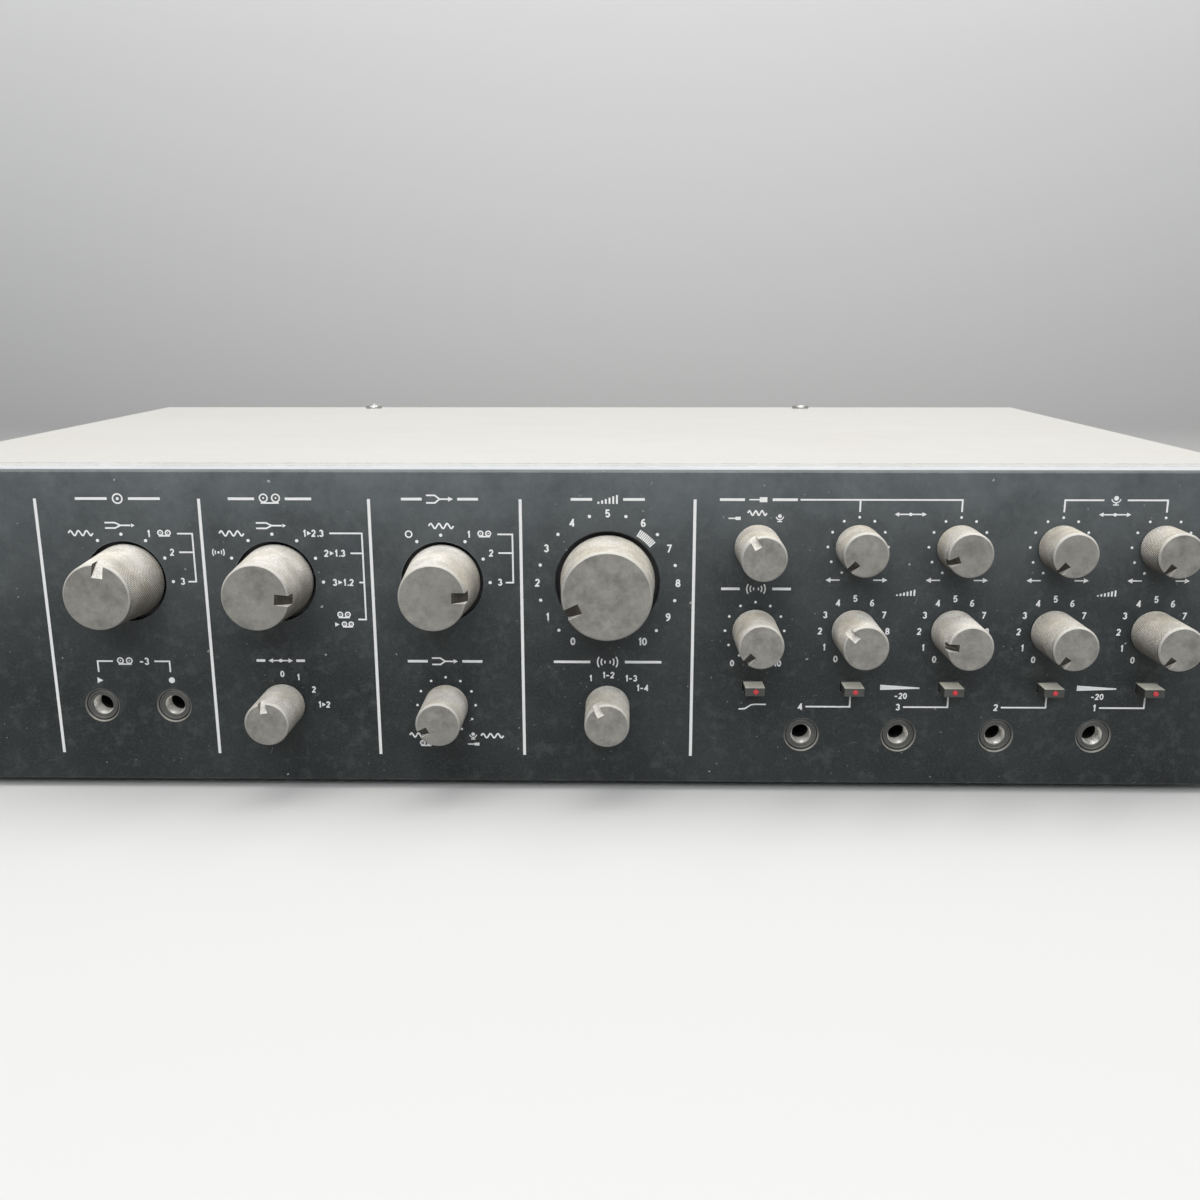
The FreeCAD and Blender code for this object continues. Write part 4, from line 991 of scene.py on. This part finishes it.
def stretchCube(build, low, high):
    corners = bmesh.ops.create_cube(build, size=1.0)["verts"]
    for corner in corners:
        share = corner.co + Vector((0.5, 0.5, 0.5))
        corner.co = Vector(low[i] + (high[i] - low[i]) * share[i] for i in range(3))


def makeButton(node):
    low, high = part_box(node)
    isPower = node == "button_power"
    capBack = max(vertex.co.y for vertex in nodes[node].data.vertices if vertex.co.x < low.x + 1e-5)
    middle = (low + high) / 2
    build = bmesh.new()
    stretchCube(build, low, Vector((high.x, capBack, high.z)))
    edge = button["powerEdge"] if isPower else button["edge"]
    bmesh.ops.bevel(build, geom=build.edges[:], offset=edge * mm, segments=3, profile=0.6, affect="EDGES")
    across, up = button["stemWide"] / 2 * mm, button["stemTall"] / 2 * mm
    stretchCube(build, Vector((middle.x - across, capBack - 0.3 * mm, middle.z - up)),
                Vector((middle.x + across, high.y, middle.z + up)))
    mesh = meshFrom(build, node)
    smoothByAngle(mesh, 40.0)
    piece = newPiece(f"moulded_{node}", mesh, node, "button_plastic",
                     "mouldedBlack" if isPower else "buttonBlack")
    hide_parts(node)
    if isPower:
        return
    dot, radius, out = bmesh.new(), button["dot"] * mm, button["dotOut"] * mm
    deep = button["dotDeep"] * mm
    profile = [(-out, 0.0), (-out * 0.95, radius * 0.40), (-out * 0.72, radius * 0.75),
               (-out * 0.3, radius * 0.97), (0.0, radius), (deep, radius), (deep, 0.0)]
    lathe(dot, profile, 24, alongY(middle.x + button["dotAcross"] * mm, low.y, middle.z))
    dotMesh = meshFrom(dot, "dot")
    smoothByAngle(dotMesh, 50.0)
    newPiece(f"redDot_{node}", dotMesh, node, "button_plastic", "redDot")


for node in sorted(nodes):
    if node.startswith("button_"):
        makeButton(node)
print("buttons moulded")

jack = {"bore": 3.2, "bush": 4.78, "sink": 0.55, "hole": 5.0, "chamfer": 0.4, "mouth": 0.35,
        "threadPitch": 0.85, "threadDepth": 0.32, "threads": 5, "threadGap": 0.10, "deep": 26.0,
        "tubeWall": 0.06, "rimProud": 0.02, "rimRoot": 0.04}


def makeRim(build, x, z):  # a pale ring over the edge of a hole in the panel: dust, and a painted highlight on the hole's edge
    place = alongY(x, panelLow.y, z)
    radius, width, root = jack["hole"], jack["chamfer"], jack["rimRoot"]
    lift = jack["rimProud"] / math.sqrt(2.0)
    profile = [(-lift, radius + width - lift), (width - lift, radius - lift), (width + root, radius + root),
               (root, radius + width + root)]
    latheClosed(build, [(a * mm, r * mm) for a, r in profile], 96, place)


def makeJack(name, spot):
    build = bmesh.new()
    place = alongY(spot[0], panelLow.y, spot[2])
    sink, bore, bush = jack["sink"], jack["bore"] - jack["tubeWall"], jack["bush"]
    outside = [(sink + 0.6, bush), (sink - 0.05, bush), (sink - 0.20, bush - 0.18),
               (sink - 0.20, bush - 0.55), (sink + 0.02, bush - 0.72), (sink + 0.02, bore + jack["mouth"]),
               (sink + 0.30, bore)]
    inner, along = [(sink + 0.30, bore)], sink + 0.8
    for _ in range(jack["threads"]):  # grooves cut towards the wall's outside
        inner += [(along, bore), (along + jack["threadPitch"] * 0.45, bore - jack["threadDepth"]),
                  (along + jack["threadPitch"] * 0.55, bore - jack["threadDepth"]),
                  (along + jack["threadPitch"], bore)]
        along += jack["threadPitch"] + jack["threadGap"]
    inner.append((along + 0.05, bore))
    # past the threads the bore takes jackDeep, whose near-black is painted shade
    deep = [(along + 0.05, bore), (jack["deep"], bore), (jack["deep"], 0.0)]
    for profile, index in ((outside, 0), (inner, 1), (deep, 2)):
        lathe(build, [(a * mm, r * mm) for a, r in profile], 72, place, index)
    bmesh.ops.remove_doubles(build, verts=build.verts, dist=1e-7)
    skin = meshFrom(build, name, False)
    skin.flip_normals()
    return skin


for name, spot in jackMounts.items():
    mesh = makeJack(name, spot)
    smoothByAngle(mesh, 25.0)
    newPiece(f"liner_{name}", mesh, "jack_sockets", "jack_plastic", "jackBlack", "jackMetal", "jackDeep")


def makeHoleRims():
    build = bmesh.new()
    for spot in jackMounts.values():
        makeRim(build, spot[0], spot[2])
    mesh = meshFrom(build, "holeRims")
    smoothByAngle(mesh, 30.0)
    newPiece("holeRims", mesh, "front_panel", "panel_black", "bareRim")


makeHoleRims()
print("jacks lined:", len(jackMounts))

cover = {"sheet": 1.0, "bend": 1.8, "bendSteps": 8}


def makeCover():  # one folded sheet with rounded bends
    low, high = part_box("top_cover")
    thick, bend, steps = cover["sheet"] * mm, cover["bend"] * mm, cover["bendSteps"]

    def foldedPath(inset):
        radius = bend - inset
        points = [(low.x + inset, low.z)]
        for centreX, start in ((low.x + bend, 180.0), (high.x - bend, 90.0)):
            for k in range(steps + 1):
                turn = math.radians(start - 90.0 * k / steps)
                points.append((centreX + radius * math.cos(turn), high.z - bend + radius * math.sin(turn)))
        return points + [(high.x - inset, low.z)]

    outline = foldedPath(0.0) + foldedPath(thick)[::-1]
    build = bmesh.new()
    loops = [[build.verts.new((x, y, z)) for x, z in outline] for y in (low.y, high.y)]
    count = len(outline)
    joinRings(build, *loops)
    for loop in loops:
        for i in range(count // 2 - 1):
            build.faces.new((loop[i], loop[i + 1], loop[count - 2 - i], loop[count - 1 - i]))
    mesh = meshFrom(build, "foldedCover")
    smoothByAngle(mesh, 35.0)
    piece = newPiece("foldedCover", mesh, "top_cover", "cover_paint", "coverEnamel")
    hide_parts("top_cover")


makeCover()

screw = {"head": 4.0, "tall": 2.0, "slotWide": 0.85, "slotLong": 2.5, "slotDeep": 1.25, "shank": 1.9,
         "shankLong": 6.0}


def screwHead(place):
    build = bmesh.new()
    head, tall = screw["head"] * mm, screw["tall"] * mm
    dome = [(0.0, 0.0), (0.0, head * 0.995), (tall * 0.30, head)]
    for k in range(1, 7):
        turn = math.radians(90.0 * k / 7)
        dome.append((tall * (0.30 + 0.70 * math.sin(turn)), head * (0.42 + 0.58 * math.cos(turn))))
    lathe(build, dome + [(tall, 0.0)], 40, place)
    return meshFrom(build, "head")


def crossCutters(place, spin):
    cutters = []
    origin = place(0.0, 0.0, 0.0)
    outward = (place(1.0, 0.0, 0.0) - origin).normalized()
    for quarter in (0.0, math.pi / 2):
        side = (place(0.0, 1.0, spin + quarter) - origin).normalized()
        other = outward.cross(side)
        build = bmesh.new()
        for corner in bmesh.ops.create_cube(build, size=1.0)["verts"]:
            local = corner.co.copy()
            reach = screw["slotLong"] * (1.0 if local.z > 0 else 0.45)
            rise = screw["tall"] - screw["slotDeep"] if local.z < 0 else screw["tall"] + 0.5
            corner.co = origin + mm * (side * local.x * 2 * reach + other * local.y * screw["slotWide"]
                                       + outward * rise)
        cutters.append(meshFrom(build, "cross"))
    return cutters


def separateBoxes(node):  # corners of each loose solid in a node
    build = bmesh.new()
    build.from_mesh(nodes[node].data)
    bmesh.ops.remove_doubles(build, verts=build.verts, dist=1e-6)
    left, found = set(build.verts), []
    while left:
        stack, spots = [left.pop()], []
        while stack:
            vertex = stack.pop()
            spots.append(vertex.co.copy())
            for edge in vertex.link_edges:
                other = edge.other_vert(vertex)
                if other in left:
                    left.remove(other)
                    stack.append(other)
        found.append((Vector(min(spot[i] for spot in spots) for i in range(3)),
                      Vector(max(spot[i] for spot in spots) for i in range(3))))
    build.free()
    return found


def makeCaseScrews():
    coverLow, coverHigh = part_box("top_cover")
    tall = screw["tall"] * mm
    heads = bmesh.new()
    for low, high in separateBoxes("case_screws"):
        middle = (low + high) / 2
        if high.z > coverHigh.z + tall / 2:
            place = alongAxis(middle.x, middle.y, coverHigh.z, "z")
        elif high.x > coverHigh.x + tall / 2:
            place = alongAxis(coverHigh.x, middle.y, middle.z, "x")
        elif low.x < coverLow.x - tall / 2:
            place = alongAxis(coverLow.x, middle.y, middle.z, "x", -1.0)
        elif low.z < 0.5 * coverLow.z:
            place = alongAxis(middle.x, middle.y, low.z + tall, "z", -1.0)
        else:
            place = alongAxis(middle.x, middle.y, high.z - tall, "z")
        carved = carve(screwHead(place), crossCutters(place, random.uniform(0.0, 1.5)))
        heads.from_mesh(carved)
        shank = bmesh.new()
        radius, foot = screw["shank"] * mm, -screw["shankLong"] * mm
        lathe(shank, [(0.0, 0.0), (0.0, radius), (foot, radius), (foot, 0.0)], 20, place)
        heads.from_mesh(meshFrom(shank, "shank"))
    mesh = bpy.data.meshes.new("caseScrews")
    heads.to_mesh(mesh)
    heads.free()
    smoothByAngle(mesh, 30.0)
    piece = newPiece("crossHeadScrews", mesh, "case_screws", "screw_steel", "screwSteel")
    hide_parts("case_screws")


makeCaseScrews()
print("cover folded and screwed down")

# Nodes whose shape is already right keep it, and take a finish.
nodeFinish = {
    "front_panel": "panelBlack", "front_chassis": "zincFlange", "base_pan": "zincBase",
    "rear_panel": "rearPaint", "feet": "footRubber", "panel_nuts": "mouldedBlack",
    "potentiometers": "screwSteel", "rotary_switches": "screwSteel", "push_switches": "mouldedBlack",
    "jack_sockets": "jackBlack", "circuit_board": "boardBrown", "board_standoffs": "shaftBrass",
    "power_transformer": "zincBase", "reverb_tank": "zincBase", "phono_plates": "boardBrown",
    "phono_sockets": "phonoNickel", "cord_bushing": "mouldedBlack", "fuse_holder": "mouldedBlack",
}
for node, piece in nodes.items():
    look = nodeFinish.get(node) or ("shaftBrass" if node.startswith("shaft_") else None)
    if look:
        piece.data.materials.clear()
        piece.data.materials.append(finish[look])

insulator = {"outer": 3.45, "inner": 1.75, "proud": 0.25, "deep": 1.2}


def makeInsulators():  # the coloured ring inside the end of each phono socket
    builds = {"Upper": bmesh.new(), "Lower": bmesh.new()}
    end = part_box("phono_sockets")[1].y
    outer, inner, proud = insulator["outer"], insulator["inner"], insulator["proud"]
    profile = [(-insulator["deep"], outer), (proud / 2, outer), (proud, outer - 0.15), (proud, inner + 0.25),
               (proud / 2, inner), (-insulator["deep"], inner)]
    for name, spot in phonoMounts.items():
        row = "Lower" if name.endswith("lower") else "Upper"
        latheClosed(builds[row], [(a * mm, r * mm) for a, r in profile], 40, alongY(spot[0], end, spot[2]))
    for row, look in (("Upper", "insulatorWhite"), ("Lower", "insulatorRed")):
        mesh = meshFrom(builds[row], f"insulators{row}")
        smoothByAngle(mesh, 35.0)
        newPiece(f"insulators{row}", mesh, "phono_sockets", "phono_nickel", look)


makeInsulators()
print("finishes assigned")


def makeFloor():  # a pale sweep that curves up behind
    build = bmesh.new()
    profile = [(-2.2, 0.0), (1.1, 0.0)]
    for k in range(1, 13):
        turn = math.radians(90.0 * k / 12)
        profile.append((1.1 + 0.6 * math.sin(turn), 0.6 - 0.6 * math.cos(turn)))
    profile.append((1.7, 2.4))
    rows = [[build.verts.new((x, y, z)) for x in (-3.0, 3.0)] for y, z in profile]
    for first, second in zip(rows, rows[1:]):
        build.faces.new((first[0], first[1], second[1], second[0]))
    mesh = meshFrom(build, "floor")
    mesh.shade_smooth()
    floor = bpy.data.objects.new("floor", mesh)
    scene.collection.objects.link(floor)
    newMaterial("floorPale", Roughness=0.9, Specular_IOR_Level=0.1)
    rays = addNode("ShaderNodeLightPath").outputs
    seen = larger(rays["Is Camera Ray"], larger(rays["Is Glossy Ray"], rays["Is Transmission Ray"]))
    mesh.materials.append(feed(mixColour(seen, (0.29, 0.29, 0.29), (0.74, 0.74, 0.73))))
    behind = times(seen, heightAbove(0.0, 0.9))
    give(shading["inputs"]["Emission Color"], mixColour(behind, (0.0, 0.0, 0.0), (0.42, 0.42, 0.42)))
    give(shading["inputs"]["Emission Strength"], 1.0)


def addLamp(name, place, target, size, power, colour):
    lamp = bpy.data.lights.new(name, "AREA")
    lamp.shape = "RECTANGLE"
    lamp.size, lamp.size_y = size
    lamp.energy = power
    lamp.color = colour
    holder = bpy.data.objects.new(name, lamp)
    scene.collection.objects.link(holder)
    holder.location = place
    holder.rotation_euler = (Vector(target) - Vector(place)).to_track_quat("-Z", "Y").to_euler()


def addCamera():  # stands a little right of the middle and looks down at the panel
    view = {"across": 17.16, "out": 339.33, "up": 142.69, "down": 13.871, "left": 1.074, "roll": -0.067,
            "lens": 34.632}
    camera = bpy.data.cameras.new("camera")
    camera.sensor_width = 36.0
    camera.lens = view["lens"]
    camera.clip_start = 0.01
    holder = bpy.data.objects.new("camera", camera)
    scene.collection.objects.link(holder)
    holder.location = onPanel(view["across"], view["up"], view["out"])
    turn = Matrix.Rotation(math.radians(view["left"]), 3, "Z")
    turn = turn @ Matrix.Rotation(math.radians(90.0 - view["down"]), 3, "X")
    holder.rotation_euler = (turn @ Matrix.Rotation(math.radians(view["roll"]), 3, "Z")).to_euler()
    scene.camera = holder


def addStudio():
    addLamp("overhead", (0.15, -0.10, 1.45), (0.0, 0.02, 0.05), (1.4, 0.9), 15.0, (1.0, 0.985, 0.96))
    addLamp("key", (-0.45, -0.85, 1.25), (0.0, -0.08, 0.05), (1.0, 0.7), 5.5, (1.0, 0.99, 0.97))
    addLamp("front", (0.20, -1.35, 0.90), (0.0, -0.10, 0.05), (1.5, 0.5), 10.0, (0.97, 0.985, 1.0))
    world = bpy.data.worlds.new("studio")
    world.use_nodes = True
    tree = shading["tree"] = world.node_tree
    lighting = tree.nodes["Background"]
    give(lighting.inputs["Color"], (0.92, 0.95, 1.0))
    give(lighting.inputs["Strength"], 0.25)
    seen = addNode("ShaderNodeBackground", {"Color": (0.66, 0.66, 0.66), "Strength": 1.0})
    rays = addNode("ShaderNodeLightPath").outputs
    mixed = addNode("ShaderNodeMixShader", {
        0: rays["Is Camera Ray"], 1: lighting.outputs[0], 2: seen.outputs[0]})
    give(tree.nodes["World Output"].inputs["Surface"], mixed.outputs[0])
    scene.world = world
    scene.view_settings.view_transform = "Standard"


makeFloor()
addStudio()
addCamera()

print("scene ready")
